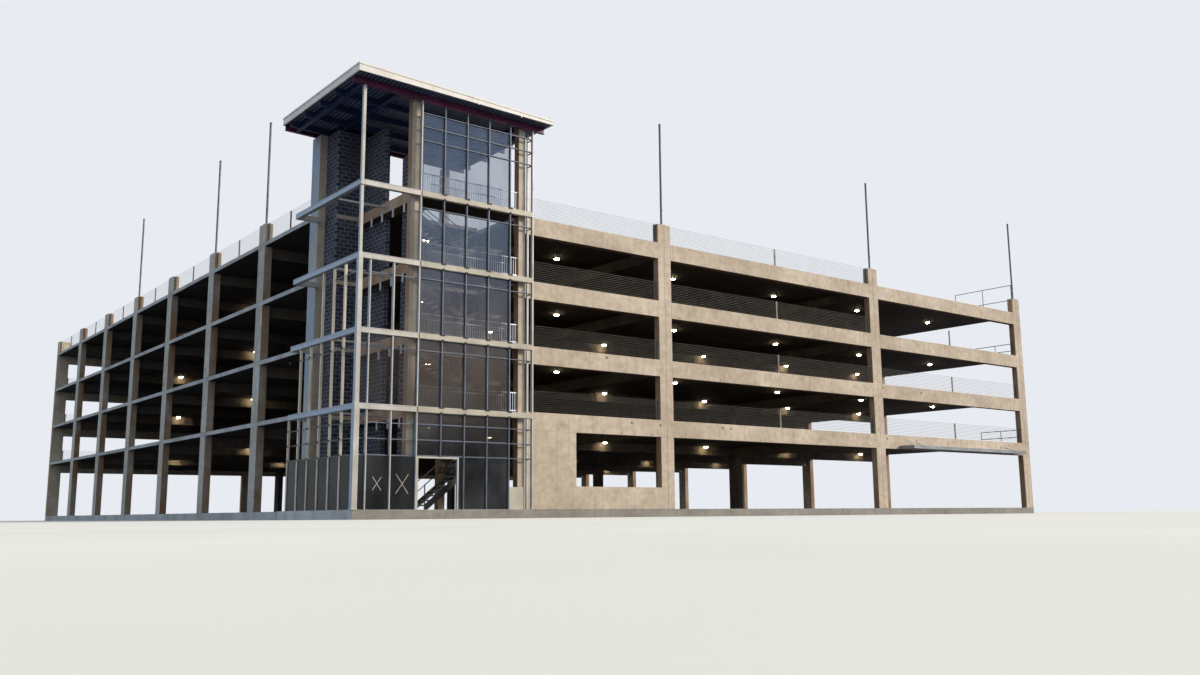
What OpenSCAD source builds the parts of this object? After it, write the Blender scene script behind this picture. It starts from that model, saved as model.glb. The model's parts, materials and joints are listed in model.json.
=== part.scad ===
// Multi storey car park under construction, as a 1:2 scale model.
// All lengths are millimetres of the model, half of the real building's.
// The origin is the middle of the footprint, on the underside of the ground slab.
// +X runs along the front to the right, +Y runs back, +Z is up.

/* [Levels] */
// Thickness of the ground slab
ground_slab_t = 200; // [120:10:300]
// Ground storey, from the ground slab's top to the level 2 deck's top
ground_storey_h = 2340; // [2100:10:2700]
// Height of each upper storey, deck top to deck top
storey_h = 1625; // [1450:5:1850]
// Thickness of the decks
deck_t = 110; // [90:5:140]
// Height of the column stubs above the roof deck
stub_h = 535; // [350:5:700]

/* [Garage plan] */
// Left face of the garage to the left face of the front column on line A
tower_bay = 8600; // [8200:10:9200]
// Line A to line B
bay_ab = 9110; // [8500:10:9600]
// Line B to line C
bay_bc = 8530; // [8000:10:9600]
// Front face to the near face of the first row of left columns
front_bay_d = 6285; // [5800:5:6800]
// Spacing of the rows behind the first
row_pitch = 4075; // [3700:5:4400]
// Number of rows from the first to the rear one
row_count = 7; // [4:1:7]

/* [Columns and beams] */
// Width of a column's broad side
col_w = 460; // [400:10:520]
// Depth of a column's narrow side
col_d = 205; // [180:5:260]
// Full depth of the front and rear edge beams
edge_beam_h = 450; // [380:10:520]
// Width of the beams inside
inner_beam_w = 230; // [180:5:300]
// How far the beams inside hang below the deck
inner_beam_drop = 300; // [220:10:360]

/* [Ground front] */
// Right end of the full height front wall, from the left face of the garage
shear_wall_end = 5780; // [5300:10:6400]
// Thickness of the ground walls
ground_wall_t = 125; // [100:5:180]
// Height of the low front wall
low_wall_h = 560; // [450:10:700]

/* [Cable barriers] */
// Height of the top cable above the beam
barrier_h = 530; // [450:5:600]
// Number of cables
cable_count = 11; // [8:1:12]
// Diameter of a cable
cable_d = 7; // [5:0.5:10]
// Width of a barrier post
barrier_post_w = 50; // [40:1:60]
// Thickness of a barrier post
barrier_post_t = 26; // [20:1:40]
// Front face of the garage to the middle of the cables
barrier_inset = 100; // [70:5:130]

/* [Pipe guards] */
// Diameter of the guards' tubes
pipe_d = 26; // [20:1:32]
// Height of the top tubes on the levels
pipe_guard_h = 525; // [450:5:600]
// Height of the top tube on the roof
pipe_guard_roof_h = 1140; // [1000:10:1250]
// Length of the guards on the levels
pipe_guard_l = 1650; // [1400:10:2000]
// Length of the guard on the roof
pipe_guard_roof_l = 2400; // [2000:10:2800]

/* [Lamp masts] */
// Height of a mast above the column stub
mast_h = 2930; // [2500:10:3200]
// Diameter of a mast
mast_d = 62; // [50:1:80]
// Side of a mast's base plate
mast_base_w = 150; // [120:5:180]
// Thickness of a mast's base plate
mast_base_t = 15; // [10:1:25]

/* [Ceiling lights] */
// Diameter of a ceiling light
ceiling_light_d = 170; // [120:5:220]
// Height of a ceiling light
ceiling_light_h = 60; // [40:5:90]
// Front face to the first row of ceiling lights
light_front_d = 2750; // [2300:10:3200]

/* [Entry canopy] */
// Length of the entry canopy
canopy_l = 6600; // [5800:20:7200]
// How far the canopy reaches out from the front
canopy_reach = 560; // [450:10:700]
// Thickness of the canopy
canopy_t = 110; // [80:5:140]
// Diameter of a canopy rod
canopy_rod_d = 16; // [12:1:24]

/* [Tower plan] */
// Left glass line, out from the garage's left face
tower_out_left = 510; // [400:10:600]
// Front glass line, out from the garage's front face
tower_out_front = 670; // [560:10:800]
// Width of the tower along the front glass line
tower_w = 4475; // [4300:5:4800]
// Length of the left ring tubes
ring_left_l = 3500; // [3400:10:3700]
// Corner post to the first curtain wall mullion
corner_bay_w = 1430; // [1350:10:1600]
// Side of a tower column along the front
tower_col_w = 195; // [170:5:230]

/* [Tower frame] */
// Depth of the ring tubes and spandrel bands
ring_h = 130; // [100:5:150]
// Width of the ring tubes
ring_w = 100; // [70:5:105]
// Deck top down to the ring tubes' top
ring_drop = 115; // [80:5:160]
// Side of the corner post in the ground storey
post_w = 130; // [110:5:160]
// Side of the corner post in levels 2 and 3
post_mid_w = 105; // [85:5:120]
// Side of the thin corner post over them
post_top_w = 70; // [50:5:100]
// Deck top down to the tower floors' top
landing_drop = 125; // [60:5:150]
// Thickness of the tower floors
landing_t = 100; // [80:5:130]

/* [Shaft and stair walls] */
// Thickness of the block walls
block_t = 100; // [80:5:120]
// Front glass line back to the shaft's front wall
shaft_back = 2870; // [2750:10:3000]
// Width of the shaft
shaft_w = 1400; // [1200:10:1700]
// Depth of the shaft
shaft_l = 1100; // [1000:10:1200]
// Left glass line to the left face of the front left tower column
front_left_col_x = 1255; // [1150:5:1320]
// Right end of the tower to the left face of the front right tower column
front_right_col_in = 320; // [280:5:450]
// Width of the doorways in the stair wall
doorway_w = 800; // [600:10:880]
// Front glass line back to the doorways
doorway_back = 890; // [800:10:980]
// Front glass line back to the gap in the wall's top storey
top_gap_back = 930; // [850:10:1000]
// Width of the gap in the wall's top storey
top_gap_w = 880; // [800:10:950]
// Height of the wall's front pier in the top storey
top_pier_h = 1000; // [900:10:1300]
// Steel roof beams down to the wall's top in the top storey
top_wall_drop = 80; // [40:10:200]
// Depth of the concrete beams over the stair wall
wall_beam_h = 260; // [200:10:300]
// Deck top down to the top of the beams over the stair wall
wall_beam_drop = 95; // [60:5:150]

/* [Curtain wall] */
// Number of curtain wall bays
curtain_bays = 5; // [5:1:5]
// Width of the curtain wall's bays, but for the last one
curtain_pitch = 598; // [560:2:640]
// Width of a mullion seen from the front
mullion_w = 38; // [28:1:50]
// Depth of a mullion
mullion_d = 60; // [45:1:75]
// Thickness of the glass
glass_t = 12; // [8:1:16]
// Height of a transom
transom_h = 22; // [16:1:32]
// Depth of a transom
transom_d = 40; // [30:1:50]
// Deck top down to the first transom under it
transom_drop = 515; // [460:5:560]
// Spacing of the ground storey's transoms
ground_transom_pitch = 342; // [300:2:380]
// Roof deck up to the top storey's lowest transom
top_transom_h = 1070; // [950:5:1150]
// Spacing of the top storey's transoms
top_transom_pitch = 325; // [280:5:360]
// Width of the entry opening with its frame
entry_w = 1050; // [900:10:1120]
// Width of the entry's frame
entry_frame_w = 40; // [30:1:55]
// Width of the infill panel in the right bay
infill_w = 400; // [330:5:450]
// Height of the infill panel
infill_h = 505; // [440:5:560]
// Glass line back to the end tube
end_tube_back = 200; // [140:5:260]
// Side of the end tube
end_tube_w = 50; // [36:1:60]

/* [Open corner] */
// Side of the studs in the left side
stud_w = 54; // [40:1:60]
// Glass line back to the first stud
first_stud = 680; // [600:5:720]
// Spacing of the studs
stud_pitch = 570; // [520:5:590]
// Left glass line to the first corner mullion
corner_mullion_in = 245; // [180:5:300]
// Spacing of the two corner mullions
corner_mullion_pitch = 565; // [520:5:640]

/* [Guards and stairs] */
// Height of the guards above the tower floors
guard_h = 500; // [450:5:560]
// Diameter of a guard rail
guard_rail_d = 22; // [16:1:30]
// Side of a picket
picket_w = 8; // [6:1:10]
// Spacing of the pickets
picket_pitch = 62; // [55:1:75]
// Risers in a flight
riser_count = 10; // [8:1:11]
// Going of a tread
tread_going = 140; // [130:5:150]
// Width of a flight
flight_w = 560; // [500:10:600]
// Gap between the two flights
flight_gap = 60; // [40:5:100]
// Thickness of a tread
tread_t = 25; // [18:1:35]
// Depth of a stringer under the nosings
stringer_h = 170; // [140:5:200]
// Thickness of a stringer
stringer_t = 20; // [12:1:30]
// Depth of the front landing
front_landing_l = 700; // [600:10:760]
// Width of the floor between the stair wall and the flights
side_landing_w = 560; // [480:10:620]

// Height of the handrails over the nosings
handrail_h = 450; // [400:5:500]
// Thickness of a handrail's bars
handrail_t = 20; // [14:1:26]

/* [Tower roof] */
// Roof deck of the garage to the underside of the front roof beam
top_storey_h = 2045; // [1900:5:2200]
// Depth of the steel roof beams
roof_beam_h = 140; // [110:5:180]
// Width of the steel roof beams
roof_beam_w = 80; // [60:5:110]
// Left glass line to the second roof girder
girder_in = 800; // [650:10:1000]
// Spacing of the roof joists
joist_pitch = 850; // [750:10:900]
// Thickness of the roof with its edge board
roof_t = 185; // [140:5:230]
// Thickness of the edge board
edge_board_t = 30; // [20:2:45]
// Thickness of the profiled roof sheet
roof_sheet_t = 60; // [40:5:80]
// Fall of the roof to the right
roof_fall = 100; // [0:10:200]
// How much thinner the roof is at its right end
roof_taper = 75; // [0:5:110]
// Overhang past the left glass line
roof_over_left = 315; // [250:5:400]
// Overhang past the front glass line
roof_over_front = 375; // [300:5:420]
// Overhang past the tower's right end
roof_over_right = 370; // [300:10:500]
// Depth of the roof from its front edge to its back edge
roof_l = 4245; // [4100:5:4400]

/* [Hidden] */

// Plan: x runs from the roof's left edge to line C, y from the roof's front edge to the rear face.
garage_l = tower_bay + bay_ab + bay_bc + col_w;
garage_d = front_bay_d + (row_count - 1) * row_pitch + col_w;
reach_left = tower_out_left + roof_over_left;
reach_front = tower_out_front + roof_over_front;
garage_x = -(garage_l - reach_left) / 2;
garage_y = -(garage_d - reach_front) / 2;
garage_x1 = garage_x + garage_l;
garage_y1 = garage_y + garage_d;
line_x = [garage_x + tower_bay, garage_x + tower_bay + bay_ab, garage_x + tower_bay + bay_ab + bay_bc];
row_y = [for (i = [0:row_count - 1]) garage_y + front_bay_d + i * row_pitch];
tower_x = garage_x - tower_out_left;
tower_y = garage_y - tower_out_front;
tower_x1 = tower_x + tower_w;
ring_y1 = tower_y + ring_left_l;

// Heights
ground_z = ground_slab_t;
level_z = [for (i = [0:3]) ground_z + ground_storey_h + i * storey_h];
stub_z = level_z[3] + stub_h;
roof_beam_z = level_z[3] + top_storey_h;

// One box from its low corner and its size
module box(at, size) translate(at) cube(size);

// Ground slab: the garage's rectangle with the tower's in front and to the left of it
module ground_slab() color("darkgray") {
    box([garage_x, garage_y, 0], [garage_l, garage_d, ground_slab_t]);
    box([tower_x - ring_w / 2, tower_y - ring_w / 2, 0],
        [tower_w + ring_w, shaft_back + shaft_l, ground_slab_t]);
}

// Decks: a front pour beside the tower and a rear pour, with a narrow joint between them
pour_joint = 12;
deck_front_y = garage_y + col_d;
tower_inner_x = tower_x1 + mullion_d / 2;
shaft_y = tower_y + shaft_back;
tower_back_y = shaft_y + shaft_l;
deck_split_y = tower_back_y + pour_joint;
module deck(z) {
    box([tower_inner_x, deck_front_y, z - deck_t],
        [garage_x1 - tower_inner_x, tower_back_y - deck_front_y, deck_t]);
    box([garage_x, deck_split_y, z - deck_t],
        [garage_l, garage_y1 - col_d - deck_split_y, deck_t]);
}
module deck_level_2() color("silver") deck(level_z[0]);
module deck_level_3() color("silver") deck(level_z[1]);
module deck_level_4() color("silver") deck(level_z[2]);
module roof_deck() color("silver") deck(level_z[3]);

// Columns of the front and rear faces run past the deck edges in one piece
module face_columns(y) for (x = line_x) box([x, y, ground_z], [col_w, col_d, stub_z - ground_z]);
module front_columns() color("tan") face_columns(garage_y);
module rear_columns() color("tan") {
    face_columns(garage_y1 - col_d);
    box([garage_x, garage_y1 - col_d, ground_z], [col_w, col_d, stub_z - ground_z]);
}

// Columns inside and on the sides are cast storey by storey between the decks
storey_z0 = [ground_z, level_z[0], level_z[1], level_z[2]];
module stacked_column(x, y, w, l)
    for (i = [0:3]) box([x, y, storey_z0[i]], [w, l, level_z[i] - deck_t - storey_z0[i]]);
module side_column(x, y) {
    stacked_column(x, y, col_d, col_w);
    box([x, y, level_z[3]], [col_d, col_w, stub_h]);
}
module left_columns() color("lightsteelblue")
    for (i = [0:row_count - 2]) side_column(garage_x, row_y[i]);
module right_columns() color("lightsteelblue")
    for (i = [0:row_count - 2]) side_column(garage_x1 - col_d, row_y[i]);
inner_x = [for (i = [0:1]) line_x[i] + (col_w - col_d) / 2];
module inner_columns() color("gray")
    for (i = [0:row_count - 2], x = inner_x) stacked_column(x, row_y[i], col_d, col_w);

// Edge beams of the front and rear faces, flush with the columns
front_start_x = tower_inner_x;
module edge_beams(y, first_x) for (z = level_z) {
    box([first_x, y, z - edge_beam_h], [line_x[0] - first_x, col_d, edge_beam_h]);
    for (i = [0:1])
        box([line_x[i] + col_w, y, z - edge_beam_h], [line_x[i + 1] - line_x[i] - col_w, col_d, edge_beam_h]);
}
module front_edge_beams() color("wheat") edge_beams(garage_y, front_start_x);
module rear_edge_beams() color("wheat") edge_beams(garage_y1 - col_d, garage_x + col_w);

// Beams across the garage, from column to column along each row
cross_x0 = [garage_x + col_d, inner_x[0] + col_d, inner_x[1] + col_d];
cross_x1 = [inner_x[0], inner_x[1], garage_x1 - col_d];
cross_beam_in = (col_w - inner_beam_w) / 2;
module cross_beams() color("dimgray") for (z = level_z, i = [0:row_count - 2], k = [0:2])
    box([cross_x0[k], row_y[i] + cross_beam_in, z - deck_t - inner_beam_drop],
        [cross_x1[k] - cross_x0[k], inner_beam_w, inner_beam_drop]);

// Beams on lines A and B, from the front columns back to the first row
module line_beams() color("dimgray") for (z = level_z, x = inner_x)
    box([x, garage_y + col_d, z - deck_t - inner_beam_drop],
        [col_d, row_y[0] - garage_y - col_d, inner_beam_drop]);

// Ground walls of the front
module full_height_wall() color("wheat")
    box([tower_inner_x, garage_y, ground_z],
        [garage_x + shear_wall_end - tower_inner_x, ground_wall_t, ground_storey_h - edge_beam_h]);
module low_front_wall() color("wheat")
    box([garage_x + shear_wall_end, garage_y, ground_z],
        [line_x[0] - garage_x - shear_wall_end, ground_wall_t, low_wall_h]);

// Entry canopy in the bay between lines B and C, hung from the level 2 edge beam
canopy_z = level_z[0] - edge_beam_h;
canopy_x = line_x[1] + col_w + (bay_bc - col_w - canopy_l) / 2;
rod_in = canopy_l / 10;
rod_x = [canopy_x + rod_in, canopy_x + canopy_l - rod_in];
rod_rise = 260;
rod_edge = 60;
module entry_canopy() color("gray")
    box([canopy_x, garage_y - canopy_reach, canopy_z], [canopy_l, canopy_reach, canopy_t]);
module canopy_rods() color("slategray") for (x = rod_x) {
    run = canopy_reach - rod_edge;
    rise = rod_rise - canopy_t;
    translate([x, garage_y - run, canopy_z + canopy_t])
        rotate([-atan2(run, rise), 0, 0])
            translate([0, 0, canopy_rod_d / 2])
                cylinder(d = canopy_rod_d, h = norm([run, rise]) - canopy_rod_d, $fn = 8);
}

// Ceiling lights in rows under every deck: one row in the front bay, the others before a row of beams
bay_x0 = [garage_x, line_x[0], line_x[1]];
bay_len = [tower_bay, bay_ab, bay_bc];
light_x = [for (b = [0:2], part = [1 / 3, 5 / 6]) bay_x0[b] + bay_len[b] * part];
light_front_x = [for (i = [1:len(light_x) - 1]) light_x[i]];
light_y = [for (i = [0:2:row_count - 2]) row_y[i] + cross_beam_in - ceiling_light_d];
module ceiling_light(x, y, z) translate([x, y, z - deck_t - ceiling_light_h])
    cylinder(d = ceiling_light_d, h = ceiling_light_h, $fn = 12);
module ceiling_lights() color("white") for (z = level_z) {
    for (x = light_front_x) ceiling_light(x, garage_y + light_front_d, z);
    for (x = light_x, y = light_y) ceiling_light(x, y, z);
}

// Lamp masts on the column stubs
module mast(x, y) {
    box([x - mast_base_w / 2, y - mast_base_w / 2, stub_z], [mast_base_w, mast_base_w, mast_base_t]);
    translate([x, y, stub_z]) cylinder(d = mast_d, h = mast_h, $fn = 12);
}
mast_rows = [0, 1, 3];
module lamp_masts() color("slategray") {
    for (x = line_x) mast(x + col_w / 2, garage_y + col_d / 2);
    for (i = mast_rows) mast(garage_x + col_d / 2, row_y[i] + col_w / 2);
}

// Cable barrier along +X from a column's face, with its end posts and mostly a middle post
lowest_cable = 56;
cable_gap = (barrier_h - lowest_cable) / (cable_count - 1);
module barrier_posts(run, count = 3) for (i = [0:count - 1])
    box([i * (run - barrier_post_w) / (count - 1), -barrier_post_t / 2, 0],
        [barrier_post_w, barrier_post_t, barrier_h + cable_d]);
module barrier(run, count = 3) {
    barrier_posts(run, count);
    for (i = [0:cable_count - 1]) translate([barrier_post_w / 2, 0, lowest_cable + i * cable_gap])
        rotate([0, 90, 0]) cylinder(d = cable_d, h = run - barrier_post_w, $fn = 6);
}
module front_barrier(z) {
    translate([front_start_x, garage_y + barrier_inset, z]) barrier(line_x[0] - front_start_x, 2);
    translate([line_x[0] + col_w, garage_y + barrier_inset, z]) barrier(bay_ab - col_w);
}
module rear_barrier(z) {
    starts = [garage_x + col_w, line_x[0] + col_w, line_x[1] + col_w];
    for (i = [0:2]) translate([starts[i], garage_y1 - barrier_inset, z]) barrier(line_x[i] - starts[i]);
}
// The front bay between lines B and C: cables at levels 2 and 3, posts alone at level 4
module last_bay(z) translate([line_x[1] + col_w, garage_y + barrier_inset, z]) children();
// The roof's sides, between the columns of every row
side_starts = [tower_back_y, for (y = row_y) y + col_w];
side_ends = [for (i = [0:row_count - 2]) row_y[i], garage_y1 - col_d];
module side_barrier(x, first_bay) for (i = [first_bay:row_count - 1])
    translate([x, side_starts[i], level_z[3]]) rotate([0, 0, 90]) barrier(side_ends[i] - side_starts[i]);
module cable_barrier_level_2() color("darkgray") {
    front_barrier(level_z[0]);
    last_bay(level_z[0]) barrier(bay_bc - col_w);
    rear_barrier(level_z[0]);
}
module cable_barrier_level_3() color("darkgray") {
    front_barrier(level_z[1]);
    last_bay(level_z[1]) barrier(bay_bc - col_w);
    rear_barrier(level_z[1]);
}
module cable_barrier_level_4() color("darkgray") {
    front_barrier(level_z[2]);
    last_bay(level_z[2]) barrier_posts(bay_bc - col_w);
    rear_barrier(level_z[2]);
}
module cable_barrier_roof() color("darkgray") {
    front_barrier(level_z[3]);
    rear_barrier(level_z[3]);
    side_barrier(garage_x + barrier_inset, 0);
    side_barrier(garage_x1 - barrier_inset, 1);
}

// Pipe guards at the front of the right side: three posts, a top tube and a middle one
module pipe_guard(z, l, h) translate([garage_x1 - barrier_inset, garage_y + col_d + pipe_d, z]) {
    for (y = [0, l / 2, l]) translate([0, y, 0]) cylinder(d = pipe_d, h = h, $fn = 8);
    for (part = [1 / 2, 1]) translate([0, 0, h * part - pipe_d / 2]) rotate([-90, 0, 0])
        cylinder(d = pipe_d, h = l, $fn = 8);
}
module pipe_guards() color("silver") {
    pipe_guard(level_z[0], pipe_guard_l, pipe_guard_h);
    pipe_guard(level_z[2], pipe_guard_l, pipe_guard_h);
    pipe_guard(level_z[3], pipe_guard_roof_l, pipe_guard_roof_h);
}

// Tower columns: two behind the front glass, one at the left ring tubes' back end, one behind the stair
glass_gap = 60;
tower_col_y = tower_y + ring_w / 2 + glass_gap;
tower_col_y1 = tower_col_y + tower_col_w;
col_f_x = tower_x + front_left_col_x;
col_r_x = tower_x1 - front_right_col_in;
roof_w = roof_over_left + tower_w + roof_over_right;
roof_x = tower_x - roof_over_left;
roof_y = tower_y - roof_over_front;
roof_z = roof_beam_z + roof_beam_h;
// How far the roof has fallen at a place along the front, from the left glass line
function roof_fall_at(x) = roof_fall * (x - tower_x) / roof_w;
// The front columns reach the roof sheet behind the front beam, the rear ones carry the rear beam
function sheet_z(x) = roof_z - roof_fall_at(x);
function beam_z(x) = roof_beam_z - roof_fall_at(x);
left_col_y = ring_y1;
module tower_columns() color("tan") {
    for (x = [col_f_x, col_r_x])
        box([x, tower_col_y, ground_z], [tower_col_w, tower_col_w, sheet_z(x + tower_col_w) - ground_z]);
    box([col_r_x, tower_back_y - tower_col_w, ground_z],
        [tower_col_w, tower_col_w, beam_z(col_r_x + tower_col_w) - ground_z]);
    box([garage_x, left_col_y, ground_z],
        [tower_col_w, tower_back_y - left_col_y, beam_z(garage_x + tower_col_w) - ground_z]);
}

// Stair wall of blocks: a long part behind each doorway and a pier before it. In the unfinished top storey
// a wider gap takes the doorway's place, the pier is low and the long part stops under the steel.
wall_x = col_f_x + tower_col_w;
wall_x1 = wall_x + block_t;
doorway_y = [for (i = [0:4]) tower_y + (i < 4 ? doorway_back : top_gap_back)];
doorway_y1 = [for (i = [0:4]) doorway_y[i] + (i < 4 ? doorway_w : top_gap_w)];
wall_beam_z = [for (z = level_z) z - wall_beam_drop - wall_beam_h];
wall_z0 = [ground_z, for (i = [0:2]) level_z[i] - wall_beam_drop];
wall_top_z = level_z[3] - wall_beam_drop;
wall_storey_h = [for (i = [0:3]) wall_beam_z[i] - wall_z0[i], beam_z(wall_x1) - top_wall_drop - wall_top_z];
pier_h = [for (i = [0:3]) wall_storey_h[i], top_pier_h];
wall_starts = concat(wall_z0, [wall_top_z]);
module stair_wall() color("dimgray") for (i = [0:4]) {
    box([wall_x, doorway_y1[i], wall_starts[i]], [block_t, shaft_y - doorway_y1[i], wall_storey_h[i]]);
    box([wall_x, tower_col_y, wall_starts[i]], [block_t, doorway_y[i] - tower_col_y, pier_h[i]]);
}

// Concrete beams on the stair wall, from the front left column to the shaft
module stair_wall_beams() color("lightgray") for (z = wall_beam_z) {
    box([col_f_x, tower_col_y1, z], [tower_col_w, shaft_y - tower_col_y1, wall_beam_h]);
    box([wall_x, tower_col_y, z], [block_t, shaft_y - tower_col_y, wall_beam_h]);
}

// Lift shaft of four block walls, beside the left column
shaft_x = garage_x + tower_col_w;
shaft_x1 = shaft_x + shaft_w;
shaft_top = beam_z(shaft_x1);
module lift_shaft() color("dimgray") difference() {
    box([shaft_x, shaft_y, ground_z], [shaft_w, shaft_l, shaft_top - ground_z]);
    box([shaft_x + block_t, shaft_y + block_t, ground_z - 1],
        [shaft_w - 2 * block_t, shaft_l - 2 * block_t, shaft_top - ground_z + 2]);
}
band_h = 95;
band_t = 8;
module shaft_bands() color("lightgray") for (z = level_z)
    box([shaft_x, shaft_y - band_t, z - landing_drop - band_h], [col_f_x - shaft_x, band_t, band_h]);

// Tower floors: front landing, strip beside the stair, lobby behind it and the way past the shaft
stair_x = wall_x1 + side_landing_w;
stair_y = tower_y + ring_w + front_landing_l;
stair_y1 = stair_y + 2 * flight_w + flight_gap;
module tower_floors() color("silver") for (z = level_z) {
    z0 = z - landing_drop - landing_t;
    box([wall_x1, tower_y + ring_w, z0], [col_r_x - wall_x1, front_landing_l - pour_joint, landing_t]);
    box([wall_x1, stair_y, z0], [side_landing_w - pour_joint, shaft_y - stair_y, landing_t]);
    box([stair_x, stair_y1, z0], [col_r_x - stair_x, shaft_y - stair_y1, landing_t]);
    box([shaft_x1, shaft_y + pour_joint, z0], [col_r_x - shaft_x1, shaft_l - pour_joint, landing_t]);
}

// Hangers on the stair wall beams, most of their length under the beam
hanger_h = 220;
hanger_lap = 30;
hanger_w = 80;
hanger_t = 12;
hanger_count = 4;
first_hanger = 80;
hanger_pitch = 545;
module beam_hangers() color("white") for (z = wall_beam_z, k = [0:hanger_count - 1])
    box([col_f_x - hanger_t, tower_col_y1 + first_hanger + k * hanger_pitch, z + hanger_lap - hanger_h],
        [hanger_t, hanger_w, hanger_h]);

// Corner post of the tower, thinner over the rings of levels 2 and 4, with a knuckle in the highest ring
ring_z = [for (z = level_z) z - ring_drop - ring_h];
knuckle_w = max(ring_w, post_top_w);
post_at = [post_w, post_mid_w, post_mid_w, post_top_w];
ring_start = [for (i = [0:3]) max(ring_w, post_at[i]) / 2];
module post_part(w, z0, z1) box([tower_x - w / 2, tower_y - w / 2, z0], [w, w, z1 - z0]);
module corner_post() color("ghostwhite") {
    post_part(post_w, ground_z, ring_z[0] + ring_h);
    post_part(post_mid_w, ring_z[0] + ring_h, ring_z[2] + ring_h);
    post_part(post_top_w, ring_z[2] + ring_h, ring_z[3]);
    post_part(knuckle_w, ring_z[3], ring_z[3] + ring_h);
    post_part(post_top_w, ring_z[3] + ring_h, beam_z(tower_x + post_top_w / 2));
}

// Ring tubes from the corner post: one back and over to the left column's front, one along the front
ring_lap = 50;
module ring_tubes() color("aliceblue") for (i = [0:3]) {
    z = ring_z[i];
    start = ring_start[i];
    box([tower_x - ring_w / 2, tower_y + start, z], [ring_w, ring_left_l - start, ring_h]);
    box([tower_x + ring_w / 2, ring_y1 - ring_w, z],
        [garage_x + ring_lap - tower_x - ring_w / 2, ring_w, ring_h]);
    box([tower_x + start, tower_y - ring_w / 2, z], [corner_bay_w - mullion_w / 2 - start, ring_w, ring_h]);
}

// Tie tubes from the left ring tubes to the stair wall beams
tie_back = 1350;
tie_w = 50;
module tie_tubes() color("antiquewhite") for (z = ring_z)
    box([tower_x + ring_w / 2, tower_y + tie_back, z], [col_f_x - tower_x - ring_w / 2, tie_w, tie_w]);

// Storeys of the glazing: where each starts over the ring tubes below and ends under those above
glass_z0 = [ground_z, for (z = ring_z) z + ring_h];
glass_z1 = [for (z = ring_z) z, beam_z(tower_x1)];
// Undersides of the transoms of each storey, from the lowest up
transom_z = [
    [for (k = [2:-1:0]) level_z[0] - transom_drop - k * ground_transom_pitch],
    [level_z[1] - transom_drop],
    [level_z[2] - transom_drop],
    [level_z[3] - transom_drop],
    [for (k = [0:2]) level_z[3] + top_transom_h + k * top_transom_pitch]];
function row_z0(s, k) = k == 0 ? glass_z0[s] : transom_z[s][k - 1] + transom_h;
function row_z1(s, k) = k == len(transom_z[s]) ? glass_z1[s] : transom_z[s][k];

// Curtain wall of the front. The second mullion stops over the entry.
curtain_x = tower_x + corner_bay_w;
mullion_x = [for (i = [0:curtain_bays]) i < curtain_bays ? curtain_x + i * curtain_pitch : tower_x1];
clear_bay = [for (i = [0:curtain_bays - 1]) mullion_x[i + 1] - mullion_x[i] - mullion_w];
entry_top_z = transom_z[0][0];
mullion_z0 = [for (i = [0:curtain_bays]) i == 1 ? entry_top_z : ground_z];
corner_x = [for (k = [0:1]) tower_x + corner_mullion_in + k * corner_mullion_pitch];
corner_storeys = [0, 1, 2];
module mullion(x, z0, z1)
    box([x - mullion_w / 2, tower_y - mullion_d / 2, z0], [mullion_w, mullion_d, z1 - z0]);
module full_mullion(i) mullion(mullion_x[i], mullion_z0[i], beam_z(mullion_x[i] + mullion_w / 2));
module curtain_mullions() color("slategray") for (i = [1:curtain_bays]) full_mullion(i);
// Pale mullions of the corner bay, with the curtain wall's first one that closes it
module corner_mullions() color("ghostwhite") {
    full_mullion(0);
    for (s = corner_storeys, x = corner_x) mullion(x, glass_z0[s], glass_z1[s]);
}
module spandrel_bands() color("antiquewhite") for (z = ring_z, i = [0:curtain_bays - 1])
    box([mullion_x[i] + mullion_w / 2, tower_y - ring_w / 2, z], [clear_bay[i], ring_w, ring_h]);

// Tube behind the last mullion, joined to it by short rails
end_tube_y = tower_y + end_tube_back;
module end_tube() color("ghostwhite")
    box([tower_x1 - end_tube_w / 2, end_tube_y - end_tube_w / 2, ground_z],
        [end_tube_w, end_tube_w, sheet_z(tower_x1 + end_tube_w / 2) - ground_z]);

// Studs of the open left side, fewer in each storey
stud_counts = [6, 5, 3];
stud_y = [for (k = [0:stud_counts[0] - 1]) tower_y + first_stud + k * stud_pitch];
module left_studs() color("antiquewhite") for (s = [0:2], k = [0:stud_counts[s] - 1])
    box([tower_x - stud_w / 2, stud_y[k] - stud_w / 2, glass_z0[s]],
        [stud_w, stud_w, glass_z1[s] - glass_z0[s]]);

// Transoms between the mullions, rails behind the studs and corner mullions, and the end tube's rails
rail_t = 30;
module curtain_transoms() color("slategray") {
    for (s = [0:4], z = transom_z[s], i = [0:curtain_bays - 1])
        box([mullion_x[i] + mullion_w / 2, tower_y - transom_d / 2, z],
            [clear_bay[i], transom_d, transom_h]);
    for (s = [0:4], z = transom_z[s])
        box([tower_x1 - transom_h / 2, tower_y + mullion_d / 2, z],
            [transom_h, end_tube_y - end_tube_w / 2 - tower_y - mullion_d / 2, transom_h]);
    for (s = corner_storeys, z = transom_z[s]) {
        post_in = post_at[s] / 2;
        box([tower_x + stud_w / 2, tower_y + post_in, z],
            [rail_t, stud_y[stud_counts[s] - 1] + stud_w / 2 - tower_y - post_in, transom_h]);
        box([tower_x + post_in, tower_y + mullion_d / 2, z],
            [corner_bay_w - post_in + mullion_w / 2, rail_t, transom_h]);
    }
}

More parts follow.
